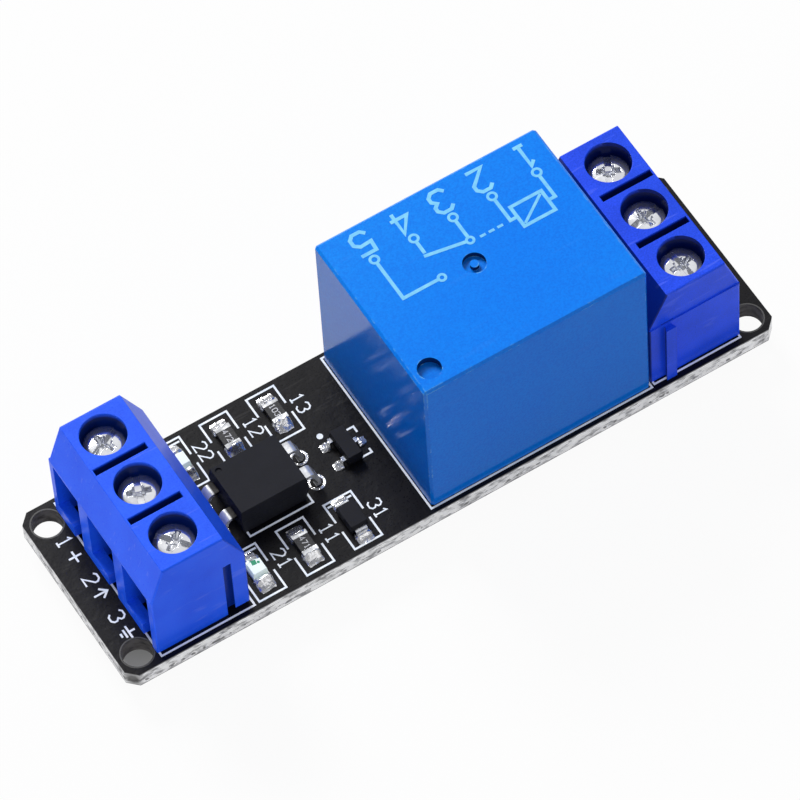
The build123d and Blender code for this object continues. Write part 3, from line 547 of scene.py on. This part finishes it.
def screw_blank():
    """One screw about the origin: a thread of shallow ridges, the head, and the drive cut into it."""
    profile = [(0, SCREW_TIP), (0.95, SCREW_TIP), (1.05, SCREW_TIP + 0.12)]
    level = SCREW_TIP + 0.2
    while level < THREAD_END:
        profile += [(1.03, level), (1.2, level + 0.16), (1.2, level + 0.22)]
        level += THREAD_PITCH
    profile += [(1.05, HEAD_UNDER - 0.2), (1.05, HEAD_UNDER), (HEAD_RADIUS - 0.08, HEAD_UNDER)]
    profile += [(HEAD_RADIUS, HEAD_UNDER + 0.08), (HEAD_RADIUS, 12.16), (1.57, 12.27), (1.48, 12.34)]
    profile += [(1.2, 12.41), (0.8, 12.46), (0.4, 12.49), (0, SCREW_TOP)]
    turned = bmesh.new()
    lathe(turned, profile, 48)
    screw = loose_object("screw_blank", turned)
    helpers = [screw]
    for name, depth, sizes in (("slot_cut", 0.20, (3.6, 0.52, 0.62, 3.6, 0.52)),
                               ("cross_cut", 0.35, (0.5, 2.1, 0.9, 0.4, 0.9)),
                               ("centre_cut", 0.40, (1.0, 1.0, 1.0, 0.3, 0.3))):
        block = bmesh.new()
        box(block, SCREW_TOP - depth, *sizes)
        cut = screw.modifiers.new(name, "BOOLEAN")
        cut.operation = "DIFFERENCE"
        cut.solver = "EXACT"
        cut.object = loose_object(name, block)
        helpers.append(cut.object)
    mesh = plain_mesh(screw)
    for helper in helpers:
        bpy.data.objects.remove(helper)
    mesh.shade_smooth()
    mesh.set_sharp_from_angle(angle=math.radians(28))
    return mesh


def new_tree(name, *inputs):
    """A geometry tree with the inputs named, and the sockets that bring them in."""
    tree = bpy.data.node_groups.new(name, "GeometryNodeTree")
    for label, kind in (("Geometry", "Geometry"), *inputs, ("Finish", "Material")):
        tree.interface.new_socket(label, in_out="INPUT", socket_type=f"NodeSocket{kind}")
    tree.interface.new_socket("Geometry", in_out="OUTPUT", socket_type="NodeSocketGeometry")
    return tree, tree.nodes.new("NodeGroupInput").outputs


def end_tree(tree, shape, finish):
    """Makes the copies real, puts the finish on them and hands them out."""
    real = add(tree, "GeometryNodeRealizeInstances", {"Geometry": shape}).outputs[0]
    coated = add(tree, "GeometryNodeSetMaterial", {"Geometry": real, "Material": finish}).outputs[0]
    tree.links.new(coated, tree.nodes.new("NodeGroupOutput").inputs[0])
    return tree


def placing_tree():
    """Turns one blank about its axis and carries it to its place."""
    tree, given = new_tree("screw_placing", ("Turn", "Rotation"), ("Place", "Vector"))
    moved = add(tree, "GeometryNodeTransform", {"Geometry": given["Geometry"], "Rotation": given["Turn"],
                                                "Translation": given["Place"]})
    return end_tree(tree, moved.outputs[0], given["Finish"])


def run_tree(name, mesh, tree, values):
    """The plain mesh that a geometry tree makes from a mesh, with its inputs set by their names."""
    made = bpy.data.objects.new(name, mesh)
    bpy.context.scene.collection.objects.link(made)
    modifier = made.modifiers.new(tree.name, "NODES")
    modifier.node_group = tree
    for item in tree.interface.items_tree:
        if item.item_type == "SOCKET" and item.in_out == "INPUT" and item.name in values:
            modifier[item.identifier] = values[item.name]
    made.data = plain_mesh(made)
    made.modifiers.clear()
    made.data.name = name
    return made


screw_mesh = screw_blank()
screw_places = placing_tree()
SCREW_TURNS = {"input": (24, 71, 128), "output": (63, 12, 98)}
for end, turns in SCREW_TURNS.items():
    for pole, turn in enumerate(turns, start=1):
        x, y = middle(f"{end}_screw_{pole}")
        screw = run_tree(f"{end}_clamp_screw_{pole}", screw_mesh.copy(), screw_places,
                         {"Turn": (0.0, 0.0, math.radians(turn)), "Place": (x * MM, y * MM, 0.0),
                          "Finish": zinc_plate})
        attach(screw, f"{end}_turn_{pole}")
        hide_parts(f"{end}_screw_{pole}")


# Behind each wire entry a plated wire guard hangs under the screw, in a folded frame of tinned brass whose
# pin goes through the board.
tinned_brass = metal_finish("tinned_brass", (0.74, 0.73, 0.69), (0.52, 0.50, 0.45), 0.24, 0.40, 700.0,
                            0.01 * MM)
for end in ("input", "output"):
    for pole in (1, 2, 3):
        dress([f"{end}_wire_guard_{pole}"], zinc_plate)
        dress([f"{end}_contact_{pole}"], tinned_brass)


# The relay cover is a glossy blue moulding with a vent recess near one corner and the moulding gate's dimple
# in the middle of its top. Its sides are so smooth that they mirror the board. Its edges are chafed in
# specks, and its front corner has a painted highlight. Its sides and the walls of its recesses have painted
# shade.
cover_low, cover_high = span("relay_cover")
COVER_TOP = cover_high.z
VENT_PLACE = (-0.4, -6.0)
GATE_PLACE = (7.2, 0.0)


def dot(tree, first, second):
    """How well two directions agree: 1 where they are the same."""
    return add(tree, "ShaderNodeVectorMath", {0: first, 1: second}, operation="DOT_PRODUCT").outputs["Value"]


def cover_finish():
    finish, tree, shader = new_finish("glossy_blue_cover", specular=0.15)
    grain = grain_outputs(tree, 6000.0, 180.0)
    coords = tree.nodes.new("ShaderNodeTexCoord").outputs
    place = coords["Object"]
    spot = split(tree, place)
    # The top runs lighter towards the back left.
    slant = math_node(tree, "SUBTRACT", spot["Y"], times(tree, spot["X"], 0.5))
    mottled_blue = tint(tree, grain["Cloud"], (0.0018, 0.226, 0.98), (0.0030, 0.266, 1.0))
    body = tint(tree, spread(tree, slant, -6.0 * MM, 8.0 * MM, 0.0, 1.0), mottled_blue, (0.009, 0.285, 1.0))
    body = tint(tree, times(tree, grain["Scuffs"], 0.03), body, (0.16, 0.45, 1.0))
    body = tint(tree, spread(tree, grain["Grain"], 0.36, 0.64, 0.0, 0.32), body, (0.0, 0.09, 0.78))
    rounded = add(tree, "ShaderNodeBevel", {"Radius": 0.2 * MM}, samples=6).outputs[0]
    flat = tree.nodes.new("ShaderNodeNewGeometry").outputs["Normal"]
    bent = dot(tree, rounded, flat)
    # Pale specks of chafing on the rounded edges, and a painted highlight round the front left top corner.
    from_corner = distance(tree, place, (cover_low.x, cover_low.y, COVER_TOP))
    nicks_and_corner_highlight = math_node(tree, "ADD", patches(tree, place, 1500.0, 2.0),
                      spread(tree, from_corner, 0.4 * MM, 2.4 * MM, 0.26, 0.0))
    chafe_and_highlight = times(tree, spread(tree, bent, 0.99, 0.85, 0.0, 1.0), spread(tree, nicks_and_corner_highlight, 0.56, 0.66, 0.0, 0.8))
    body = tint(tree, chafe_and_highlight, body, (0.22, 0.66, 1.0))
    # Painted shade: the sides are a little darker than the top.
    steep = below(tree, math_node(tree, "ABSOLUTE", split(tree, coords["Normal"])["Z"]), 0.5)
    body = tint(tree, times(tree, steep, 0.12), body, (0.0, 0.0, 0.0))
    # Painted shade on the walls of the vent recess and of the gate's dimple.
    for recess in (VENT_PLACE, GATE_PLACE):
        in_recess = below(tree, distance(tree, place, (*recess, COVER_TOP)), 1.3 * MM)
        body = tint(tree, times(tree, in_recess, steep, 0.85), body, (0.002, 0.012, 0.07))
    rough = math_node(tree, "ADD", times(tree, grain["Scuffs"], 0.05),
                      spread(tree, grain["Grain"], 0.25, 0.75, 0.12, 0.18))
    coat(tree, shader, body, rough)
    roughen(tree, shader, grain["Grain"], 0.0006 * MM, edge_round=0.06 * MM)
    return finish


dress(["relay_cover"], cover_finish())


# The print on the cover is a pale blue wiring diagram with pin numbers: the coil on the left, the changeover
# contact on the right. It is read from the far side of the board.
cover_print = bmesh.new()
print_levels = (COVER_TOP - 0.006, COVER_TOP + 0.012)
FAR_SIDE = (-1.0, 0.0)


def diagram(points, width=0.28):
    stroke(cover_print, points, width, *print_levels)


def joint(centre, radius):
    low, high = print_levels
    ring(cover_print, centre, radius, 0.21, low, high + 0.004, sides=24)


PIN_PLACES = {"1": 15.3, "2": 11.4, "3": 8.0, "4": 4.6, "5": 1.2}
for digit, x in PIN_PLACES.items():
    number(cover_print, digit, (x, 5.95), FAR_SIDE, 2.0, 0.3, *print_levels)
    joint((x, 4.25), 0.33)
diagram([(12.0, 0.7), (14.7, 0.7), (14.7, 2.7), (12.0, 2.7), (12.0, 0.7)])
diagram([(12.2, 0.9), (14.5, 2.5)], 0.22)
diagram([(15.3, 3.9), (15.3, 1.7), (14.84, 1.7)])
diagram([(11.4, 3.9), (11.4, 1.7), (11.86, 1.7)])
diagram([(8.0, 3.9), (8.0, 2.15)])
joint((8.0, 1.85), 0.28)
diagram([(7.65, 1.9), (4.4, 2.5)])
diagram([(4.6, 3.9), (4.6, 2.7)])
diagram([(1.2, 3.9), (1.2, 0.2), (4.2, 0.2)])
joint((4.53, 0.2), 0.28)
for start in (10.75, 10.0, 9.25):
    diagram([(start, 1.7), (start - 0.48, 1.7)], 0.22)
pale_ink = ink_finish("pale_blue_ink", (0.25, 0.72, 1.0), (0.15, 0.57, 1.0))
make_piece("cover_print", cover_print, pale_ink, "board")


# Inside the cover: a black base, an ivory spool with its copper winding, the soft iron magnet with its hinged
# armature, the bronze blade and the silver contacts. None of it shows while the cover is on.
def plastic_finish(name, colour, specular, smooth, rough, depth):
    """A plain moulded or glazed surface, with relief of a depth in metres."""
    finish, tree, shader = new_finish(name, specular=specular)
    grain = grain_outputs(tree, 9000.0, 500.0)
    deep = tuple(c * 0.82 for c in colour)
    pale = tuple(min(1.0, c * 1.15 + 0.003) for c in colour)
    coat(tree, shader, tint(tree, grain["Cloud"], deep, pale),
         spread(tree, grain["Grain"], 0.25, 0.75, smooth, rough))
    roughen(tree, shader, grain["Grain"], depth, edge_round=0.05 * MM)
    return finish


def winding_finish():
    """Enamelled wire: fine level turns round the spool."""
    finish, tree, shader = new_finish("enamelled_copper", metallic=1.0)
    wave = {"Vector": own_place(tree), "Scale": 1600.0, "Distortion": 0.4}
    turns = add(tree, "ShaderNodeTexWave", wave, bands_direction="Z").outputs["Fac"]
    coat(tree, shader, tint(tree, turns, (0.30, 0.09, 0.03), (0.72, 0.30, 0.11)),
         spread(tree, turns, 0.0, 1.0, 0.42, 0.26))
    roughen(tree, shader, turns, 0.03 * MM)
    return finish


dress(["relay_base"], plastic_finish("black_base", (0.02, 0.02, 0.022), 0.4, 0.45, 0.6, 0.003 * MM))
dress(["coil_bobbin"], plastic_finish("ivory_spool", (0.72, 0.69, 0.60), 0.4, 0.4, 0.55, 0.002 * MM))
dress(["coil_winding"], winding_finish())
dress(["magnet_core", "magnet_yoke", "armature"],
      metal_finish("nickelled_iron", (0.55, 0.54, 0.52), (0.40, 0.39, 0.38), 0.28, 0.45, 600.0, 0.01 * MM))
dress(["contact_blade", "blade_leg"],
      metal_finish("spring_bronze", (0.72, 0.46, 0.24), (0.55, 0.33, 0.15), 0.22, 0.36, 600.0, 0.006 * MM))
dress(["moving_rivet", "open_rivet", "closed_rivet"],
      metal_finish("contact_silver", (0.90, 0.89, 0.86), (0.74, 0.73, 0.70), 0.16, 0.30, 900.0, 0.008 * MM))
dress(["coil_pins", "common_terminal", "open_contact", "closed_contact"], tinned_brass)


# The optocoupler, the transistor and the diode are moulded in matte black epoxy round tinned lead frames. The
# optocoupler's leads have painted shade on their shoulders, by its body on the input side.
epoxy = plastic_finish("black_epoxy", (0.0130, 0.0135, 0.0185), 0.10, 0.45, 0.62, 0.004 * MM)
lead_tin = metal_finish("lead_tin", (0.88, 0.89, 0.91), (0.60, 0.61, 0.63), 0.14, 0.26, 1500.0, 0.02 * MM)
dress(["optocoupler_body", "transistor_body", "diode_body"], epoxy)
dress(["transistor_leads", "diode_leads"], lead_tin)


def lead_with_painted_shade():
    """Tin, bright at the bends, with painted shade on the shoulders by the optocoupler's body on its input
    side.
    """
    finish, tree, shader = new_finish("lead_with_painted_shade", metallic=0.6)
    grain = grain_outputs(tree, 9000.0, 1500.0)
    x = split(tree, own_place(tree))["X"]
    # Painted shade on the shoulders between the bend and the body, on the input side.
    painted_shoulder_shade = times(tree, spread(tree, x, -15.66 * MM, -15.52 * MM, 0.0, 1.0), below(tree, x, -12.0 * MM))
    bright = tint(tree, grain["Cloud"], (0.66, 0.67, 0.69), (0.92, 0.93, 0.95))
    coat(tree, shader, tint(tree, painted_shoulder_shade, bright, (0.035, 0.033, 0.032)),
         spread(tree, grain["Cloud"], 0.35, 0.65, 0.14, 0.26))
    roughen(tree, shader, grain["Cloud"], 0.02 * MM, edge_round=0.04 * MM)
    return finish


dress(["optocoupler_leads"], lead_with_painted_shade())


# Each optocoupler lead goes through a plated hole, whose ring shows on the component side. Solder has run up
# through the hole and left the ring bright.
LEAD_HOLES = [(x, y) for x in (-16.35, -8.05) for y in (1.27, -1.27)]
solder_finish = metal_finish("bright_solder", (1.0, 1.0, 1.0), (0.80, 0.80, 0.82), 0.08, 0.22, 1900.0,
                             0.12 * MM, 0.8)
PAD_RING_RADIUS = 0.6
PAD_RING_WIDTH = 0.2
rings = bmesh.new()
for hole in LEAD_HOLES:
    ring(rings, hole, PAD_RING_RADIUS, PAD_RING_WIDTH, BOARD_TOP - 0.01, BOARD_TOP + 0.03)
make_piece("optocoupler_pad_rings", rings, solder_finish, "board")


# The chip resistors are ceramic bars under a black glaze, with a value printed in white. Their ends are
# dipped in tin.
glaze = plastic_finish("black_glaze", (0.010, 0.010, 0.012), 0.5, 0.22, 0.36, 0.001 * MM)
dress(["resistor_1", "resistor_2", "resistor_3"], glaze)
dress(["resistor_caps", "led_caps"], lead_tin)
values = bmesh.new()
for name, digits in (("resistor_1", "471"), ("resistor_2", "472"), ("resistor_3", "103")):
    chip_top = span(name)[1].z
    number(values, digits, middle(name), DOWN_BOARD, 0.42, 0.065, chip_top - INK_SUNK, chip_top + 0.008)
value_ink = ink_finish("value_ink", (0.80, 0.80, 0.80), (0.62, 0.62, 0.63))
make_piece("resistor_values", values, value_ink, "board")


# The two indicator LEDs are clear resin cast on a pale laminate, with tinned ends. The first has a green mark
# on its cathode end.
def lens_finish():
    finish, tree, shader = new_finish("clear_resin", specular=0.5)
    grain = grain_outputs(tree, 5000.0, 900.0)
    coat(tree, shader, tint(tree, grain["Cloud"], (0.90, 1.0, 0.97), (1.0, 1.0, 1.0)),
         spread(tree, grain["Grain"], 0.2, 0.8, 0.05, 0.16))
    shader.inputs["Transmission Weight"].default_value = 0.1
    # A painted glow: the resin gives out a little light of its own.
    shader.inputs["Emission Color"].default_value = (0.80, 1.0, 0.93, 1.0)
    shader.inputs["Emission Strength"].default_value = 0.2
    shader.inputs["IOR"].default_value = 1.5
    roughen(tree, shader, grain["Cloud"], 0.03 * MM, edge_round=0.06 * MM)
    return finish


led_laminate = plastic_finish("led_laminate", (0.80, 0.84, 0.78), 0.4, 0.4, 0.6, 0.002 * MM)
dress(["led_1_base", "led_2_base"], led_laminate)
dress(["led_1_lens", "led_2_lens"], lens_finish())
LENS_TOP = span("led_1_lens")[1].z
marks = bmesh.new()
stroke(marks, [(-16.02, -5.14), (-15.64, -5.19)], 0.40, LENS_TOP - 0.02, LENS_TOP + 0.006)
stroke(marks, [(-15.60, -5.25), (-15.42, -5.35)], 0.20, LENS_TOP - 0.02, LENS_TOP + 0.008)
green_mark = ink_finish("green_mark", (0.03, 0.42, 0.20), (0.02, 0.30, 0.14))
make_piece("led_cathode_marks", marks, green_mark, "board")


# Solder holds every chip to its pads. It was melted from paste, wetted the metal ends and set in bright,
# uneven lumps that run out thin over the pads.
def solder_lump(mesh, seed, x, y, facing, width, run, rise, over):
    """Adds one lump that starts on top of a metal end, falls in a hollow curve and runs out along facing."""
    across_steps, along_steps = 14, 18
    ahead = Vector((math.cos(facing), math.sin(facing)))
    aside = Vector((-ahead.y, ahead.x))
    upper, lower = [], []
    for j in range(along_steps + 1):
        v = -over + (run + over) * j / along_steps
        fall = max(0.0, v) / run
        row_up, row_down = [], []
        for i in range(across_steps + 1):
            u = 2 * i / across_steps - 1
            wobble = noise.noise(Vector((u * 1.4 + seed * 7.1, v * 2.6, seed * 3.3)))
            narrow = 1.0 - 0.22 * fall ** 2 + 0.10 * noise.noise(Vector((v * 4.0, seed * 5.7, 1.7)))
            p = Vector((x, y)) + ahead * (v + 0.10 * fall * wobble) + aside * (u * width / 2 * narrow)
            shape = (1.0 - fall) ** 1.7 if v > 0 else 1.0 + 0.25 * v / over
            crown = math.sqrt(max(0.0, 1.0 - 0.85 * abs(u) ** 3.5))
            level = 0.03 + rise * shape * crown * (1.0 + 0.30 * wobble)
            if i in (0, across_steps) or j == along_steps:
                level = min(level, 0.05)
            row_up.append(mesh.verts.new((p.x * MM, p.y * MM, (BOARD_TOP + level) * MM)))
            row_down.append(mesh.verts.new((p.x * MM, p.y * MM, BOARD_TOP * MM)))
        upper.append(row_up)
        lower.append(row_down)
    for j in range(along_steps):
        for i in range(across_steps):
            mesh.faces.new((upper[j][i], upper[j + 1][i], upper[j + 1][i + 1], upper[j][i + 1]))
            mesh.faces.new((lower[j][i], lower[j][i + 1], lower[j + 1][i + 1], lower[j + 1][i]))
    for j in range(along_steps):
        mesh.faces.new((upper[j][0], lower[j][0], lower[j + 1][0], upper[j + 1][0]))
        mesh.faces.new((upper[j][-1], upper[j + 1][-1], lower[j + 1][-1], lower[j][-1]))
    for i in range(across_steps):
        mesh.faces.new((upper[0][i], upper[0][i + 1], lower[0][i + 1], lower[0][i]))
        mesh.faces.new((upper[-1][i], lower[-1][i], lower[-1][i + 1], upper[-1][i + 1]))


QUARTER = math.pi / 2
CHIP_LUMP = {"width": 1.5, "run": 0.8, "rise": 0.64, "over": 0.34}
DIODE_LUMP = {"width": 1.4, "run": 0.62, "rise": 0.30, "over": 0.3}
LEAD_LUMP = {"width": 0.8, "run": 0.42, "rise": 0.26, "over": 0.25}
solder_places = []
for chip in ("resistor_1", "resistor_2", "resistor_3", "led_1_base", "led_2_base"):
    x, y = middle(chip)
    solder_places += [(x, y + side * 1.0, side * QUARTER, CHIP_LUMP) for side in (1, -1)]
x, y = middle("diode_body")
solder_places += [(x, y + side * 1.6, side * QUARTER, DIODE_LUMP) for side in (1, -1)]
x, y = middle("transistor_body")
for lead_x, lead_y, facing in ((-1.22, 0.95, math.pi), (-1.22, -0.95, math.pi), (1.22, 0.0, 0.0)):
    solder_places.append((x + lead_x, y + lead_y, facing, LEAD_LUMP))
lumps = bmesh.new()
for seed, (x, y, facing, sizes) in enumerate(solder_places, start=1):
    solder_lump(lumps, seed, x, y, facing, **sizes)
solder_lumps = make_piece("chip_solder_lumps", lumps, solder_finish, "board", smooth=60)
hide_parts("chip_solder")


# Under the board every pin stands in a hollow-sided cone of wave solder, trimmed short. The terminals and the
# relay's contacts, which carry the load, have the widest ones.
CONE_HEIGHT = 1.36
TERMINAL_PAD = 1.14
LEAD_PAD = 0.79
RELAY_PINS = [(0.6, 0.0, 1.13), (2.55, 6.0, 0.92), (2.55, -6.0, 0.92), (14.8, 6.0, 1.13), (14.8, -6.0, 1.13)]


def cone_tree():
    """Stands a hollow-sided solder cone on each point, as wide as the point's own pad."""
    tree, given = new_tree("solder_cones", ("Height", "Float"), ("Tip share", "Float"))
    sizes = {"Vertices": 28, "Side Segments": 12, "Radius": 1.0, "Depth": 1.0}
    drum = add(tree, "GeometryNodeMeshCylinder", sizes).outputs["Mesh"]
    spot = split(tree, tree.nodes.new("GeometryNodeInputPosition").outputs[0])
    hollow = math_node(tree, "POWER", math_node(tree, "ADD", spot["Z"], 0.5), 2.4)
    share = spread(tree, hollow, 0.0, 1.0, given["Tip share"], 1.0)
    level = times(tree, math_node(tree, "SUBTRACT", spot["Z"], 0.5), given["Height"])
    shaped = {0: times(tree, spot["X"], share), 1: times(tree, spot["Y"], share), 2: level}
    place = add(tree, "ShaderNodeCombineXYZ", shaped).outputs[0]
    cone = add(tree, "GeometryNodeSetPosition", {"Geometry": drum, "Position": place}).outputs[0]
    smooth = add(tree, "GeometryNodeSetShadeSmooth", {"Geometry": cone}).outputs[0]
    pad = add(tree, "GeometryNodeInputNamedAttribute", {"Name": "pad_radius"}, data_type="FLOAT").outputs[0]
    size = add(tree, "ShaderNodeCombineXYZ", {0: pad, 1: pad, 2: 1.0}).outputs[0]
    copies = {"Points": given["Geometry"], "Instance": smooth, "Scale": size}
    stood = add(tree, "GeometryNodeInstanceOnPoints", copies).outputs[0]
    return end_tree(tree, stood, given["Finish"])


pins = [(side * SCREW_X, y, TERMINAL_PAD) for side in (-1, 1) for y in (POLE_PITCH, 0.0, -POLE_PITCH)]
pins += RELAY_PINS
pins += [(x, y, LEAD_PAD) for x, y in LEAD_HOLES]
pin_points = bpy.data.meshes.new("pin_points")
pin_points.from_pydata([(x * MM, y * MM, BOARD_UNDER * MM) for x, y, _ in pins], [], [])
pad_radius = pin_points.attributes.new("pad_radius", "FLOAT", "POINT")
pad_radius.data.foreach_set("value", [radius * MM for _, _, radius in pins])
cones = run_tree("pin_solder_cones", pin_points, cone_tree(),
                 {"Height": CONE_HEIGHT * MM, "Tip share": 0.52, "Finish": solder_finish})
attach(cones, "board")
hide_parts("pin_solder")


# The copper on the solder side shows through the mask as raised tracks: wide ones from the output terminals
# to the relay's contacts, thin ones from the input to the driver.
TRACK_RISE = 0.045
tracks = bmesh.new()
for width, points in (
    (2.0, [(SCREW_X, POLE_PITCH), (18.4, 6.0), (14.8, 6.0)]),
    (2.0, [(SCREW_X, -POLE_PITCH), (18.4, -6.0), (14.8, -6.0)]),
    (2.0, [(SCREW_X, 0.0), (0.6, 0.0)]),
    (0.7, [(2.55, 6.0), (-1.2, 6.0), (-3.4, 3.8), (-3.4, 0.2)]),
    (0.7, [(2.55, -6.0), (-0.9, -6.0), (-2.2, -7.2), (-7.54, -7.2)]),
    (0.5, [(-8.05, 1.27), (-6.0, 1.27), (-6.0, 0.95)]),
    (0.5, [(-8.05, -1.27), (-8.05, -2.6), (-7.54, -3.8)]),
    (0.7, [(-SCREW_X, POLE_PITCH), (-18.6, 6.6), (-11.67, 6.6)]),
    (0.5, [(-SCREW_X, 0.0), (-18.0, 0.0), (-16.35, 1.27)]),
    (0.7, [(-SCREW_X, -POLE_PITCH), (-18.4, -7.1), (-11.67, -7.1)]),
    (0.5, [(-16.35, -1.27), (-16.35, -3.0), (-14.95, -4.4), (-11.67, -4.4)]),
):
    stroke(tracks, points, width, BOARD_UNDER - TRACK_RISE, BOARD_UNDER + 0.004)
make_piece("solder_side_tracks", tracks, black_mask, "board")


# A thin collar of bare laminate shows round each mounting hole, on both faces, where the mask stops short of
# the drilled edge.
COLLAR_RADIUS = MOUNT_RADIUS + 0.08
COLLAR_WIDTH = 0.12
collars = bmesh.new()
for x in (-MOUNT_X, MOUNT_X):
    for y in (-MOUNT_Y, MOUNT_Y):
        for low, high in ((BOARD_TOP - 0.004, BOARD_TOP + 0.006), (BOARD_UNDER - 0.006, BOARD_UNDER + 0.004)):
            ring(collars, (x, y), COLLAR_RADIUS, COLLAR_WIDTH, low, high, sides=48)
bare_laminate = plastic_finish("bare_laminate", (0.075, 0.073, 0.068), 0.4, 0.4, 0.6, 0.003 * MM)
make_piece("mounting_hole_collars", collars, bare_laminate, "board")


# The setting is a white table in a plain studio: one soft lamp behind the board, and weak light from all
# round with two broad pale patches, one ahead of the camera and one behind it.
def floor_finish():
    """White that stays white round the board, lies in its shade under it, and is clear seen from below."""
    finish, tree, shader = new_finish("white_table", specular=0.2)
    grain = grain_outputs(tree, 300.0, 8.0)
    colour = tint(tree, grain["Cloud"], (0.76, 0.76, 0.76), (0.78, 0.78, 0.78))
    tree.links.new(colour, shader.inputs["Base Color"])
    shader.inputs["Roughness"].default_value = 0.8
    path = tree.nodes.new("ShaderNodeLightPath").outputs
    white = add(tree, "ShaderNodeEmission", {"Color": (1.0, 1.0, 1.0, 1.0), "Strength": 1.0}).outputs[0]
    mirrored = math_node(tree, "MAXIMUM", path["Is Glossy Ray"], path["Is Transmission Ray"])
    spot = split(tree, own_place(tree))
    under = times(tree, spread(tree, off(tree, spot["X"], -0.75 * MM), 26.4 * MM, 26.95 * MM, 1.0, 0.0),
                  spread(tree, math_node(tree, "ABSOLUTE", spot["Y"]), 6.9 * MM, 7.3 * MM, 1.0, 0.0))
    plain = blend(tree, under, 0.95, 0.1)
    share = math_node(tree, "MAXIMUM", times(tree, path["Is Camera Ray"], plain), times(tree, mirrored, 0.30))
    mixed = add(tree, "ShaderNodeMixShader", {0: share, 1: shader.outputs[0], 2: white}).outputs[0]
    from_below = tree.nodes.new("ShaderNodeNewGeometry").outputs["Backfacing"]
    clear = tree.nodes.new("ShaderNodeBsdfTransparent").outputs[0]
    one_sided = add(tree, "ShaderNodeMixShader", {0: from_below, 1: mixed, 2: clear}).outputs[0]
    tree.links.new(one_sided, tree.nodes["Material Output"].inputs["Surface"])
    return finish


TABLE_HALF = 4.0
TABLE_DROP = 0.00003
table = bmesh.new()
bmesh.ops.create_grid(table, x_segments=1, y_segments=1, size=TABLE_HALF)
bmesh.ops.translate(table, verts=table.verts, vec=(0.0, 0.0, -TABLE_DROP))
floor = loose_object("white_table_top", table)
floor.data.materials.append(floor_finish())

world = bpy.data.worlds.new("studio")
bpy.context.scene.world = world
world.use_nodes = True
sky = world.node_tree
direction = sky.nodes.new("ShaderNodeTexCoord").outputs["Generated"]
bearing = split(sky, direction)
towards_front = spread(sky, bearing["Y"], 0.1, -0.55, 0.0, 1.0)
low_down = spread(sky, bearing["Z"], 0.75, 0.35, 0.0, 1.0)
sky_colour = tint(sky, times(sky, towards_front, low_down), (0.22, 0.225, 0.235), (0.46, 0.46, 0.46))
PALE_PATCHES = (((0.25, 0.47, 0.845), (0.80, 0.805, 0.82)), ((0.22, -0.85, 0.47), (1.10, 1.10, 1.11)))
for centre, glow in PALE_PATCHES:
    near = spread(sky, dot(sky, direction, centre), 0.89, 0.95, 0.0, 1.0)
    sky_colour = tint(sky, near, sky_colour, glow)
sky.links.new(sky_colour, sky.nodes["Background"].inputs["Color"])
sky.nodes["Background"].inputs["Strength"].default_value = 1.0


def soft_lamp(name, place, size, power):
    lamp = bpy.data.lights.new(name, "AREA")
    lamp.shape = "RECTANGLE"
    lamp.size, lamp.size_y = size
    lamp.energy = power
    holder = bpy.data.objects.new(name, lamp)
    bpy.context.scene.collection.objects.link(holder)
    aim = Vector((0.0, 0.0, 0.005)) - Vector(place)
    holder.matrix_world = Matrix.Translation(place) @ aim.to_track_quat("-Z", "Y").to_matrix().to_4x4()


soft_lamp("back_softbox", (-0.01, 0.47, 0.42), (0.22, 0.22), 3.45)


# The camera stands where the photographer's did: ahead of the board and to its left, about half a metre off
# and 58 degrees up, with a long lens.
EYE_PLACE = (-0.13503, -0.25484, 0.45883 + BOARD_TOP * MM)
camera = bpy.data.cameras.new("camera")
camera.sensor_width = 36.0
camera.lens = 325.4
eye = bpy.data.objects.new("camera", camera)
bpy.context.scene.collection.objects.link(eye)
forward = Vector((0.25051, 0.47219, -0.84515)).normalized()
right = Vector((0.85038, -0.52457, -0.04102)).normalized()
above = right.cross(forward).normalized()
turned = Matrix((right, above, -forward)).transposed().to_4x4()
eye.matrix_world = Matrix.Translation(EYE_PLACE) @ turned
bpy.context.scene.camera = eye
bpy.context.scene.view_settings.view_transform = "Standard"
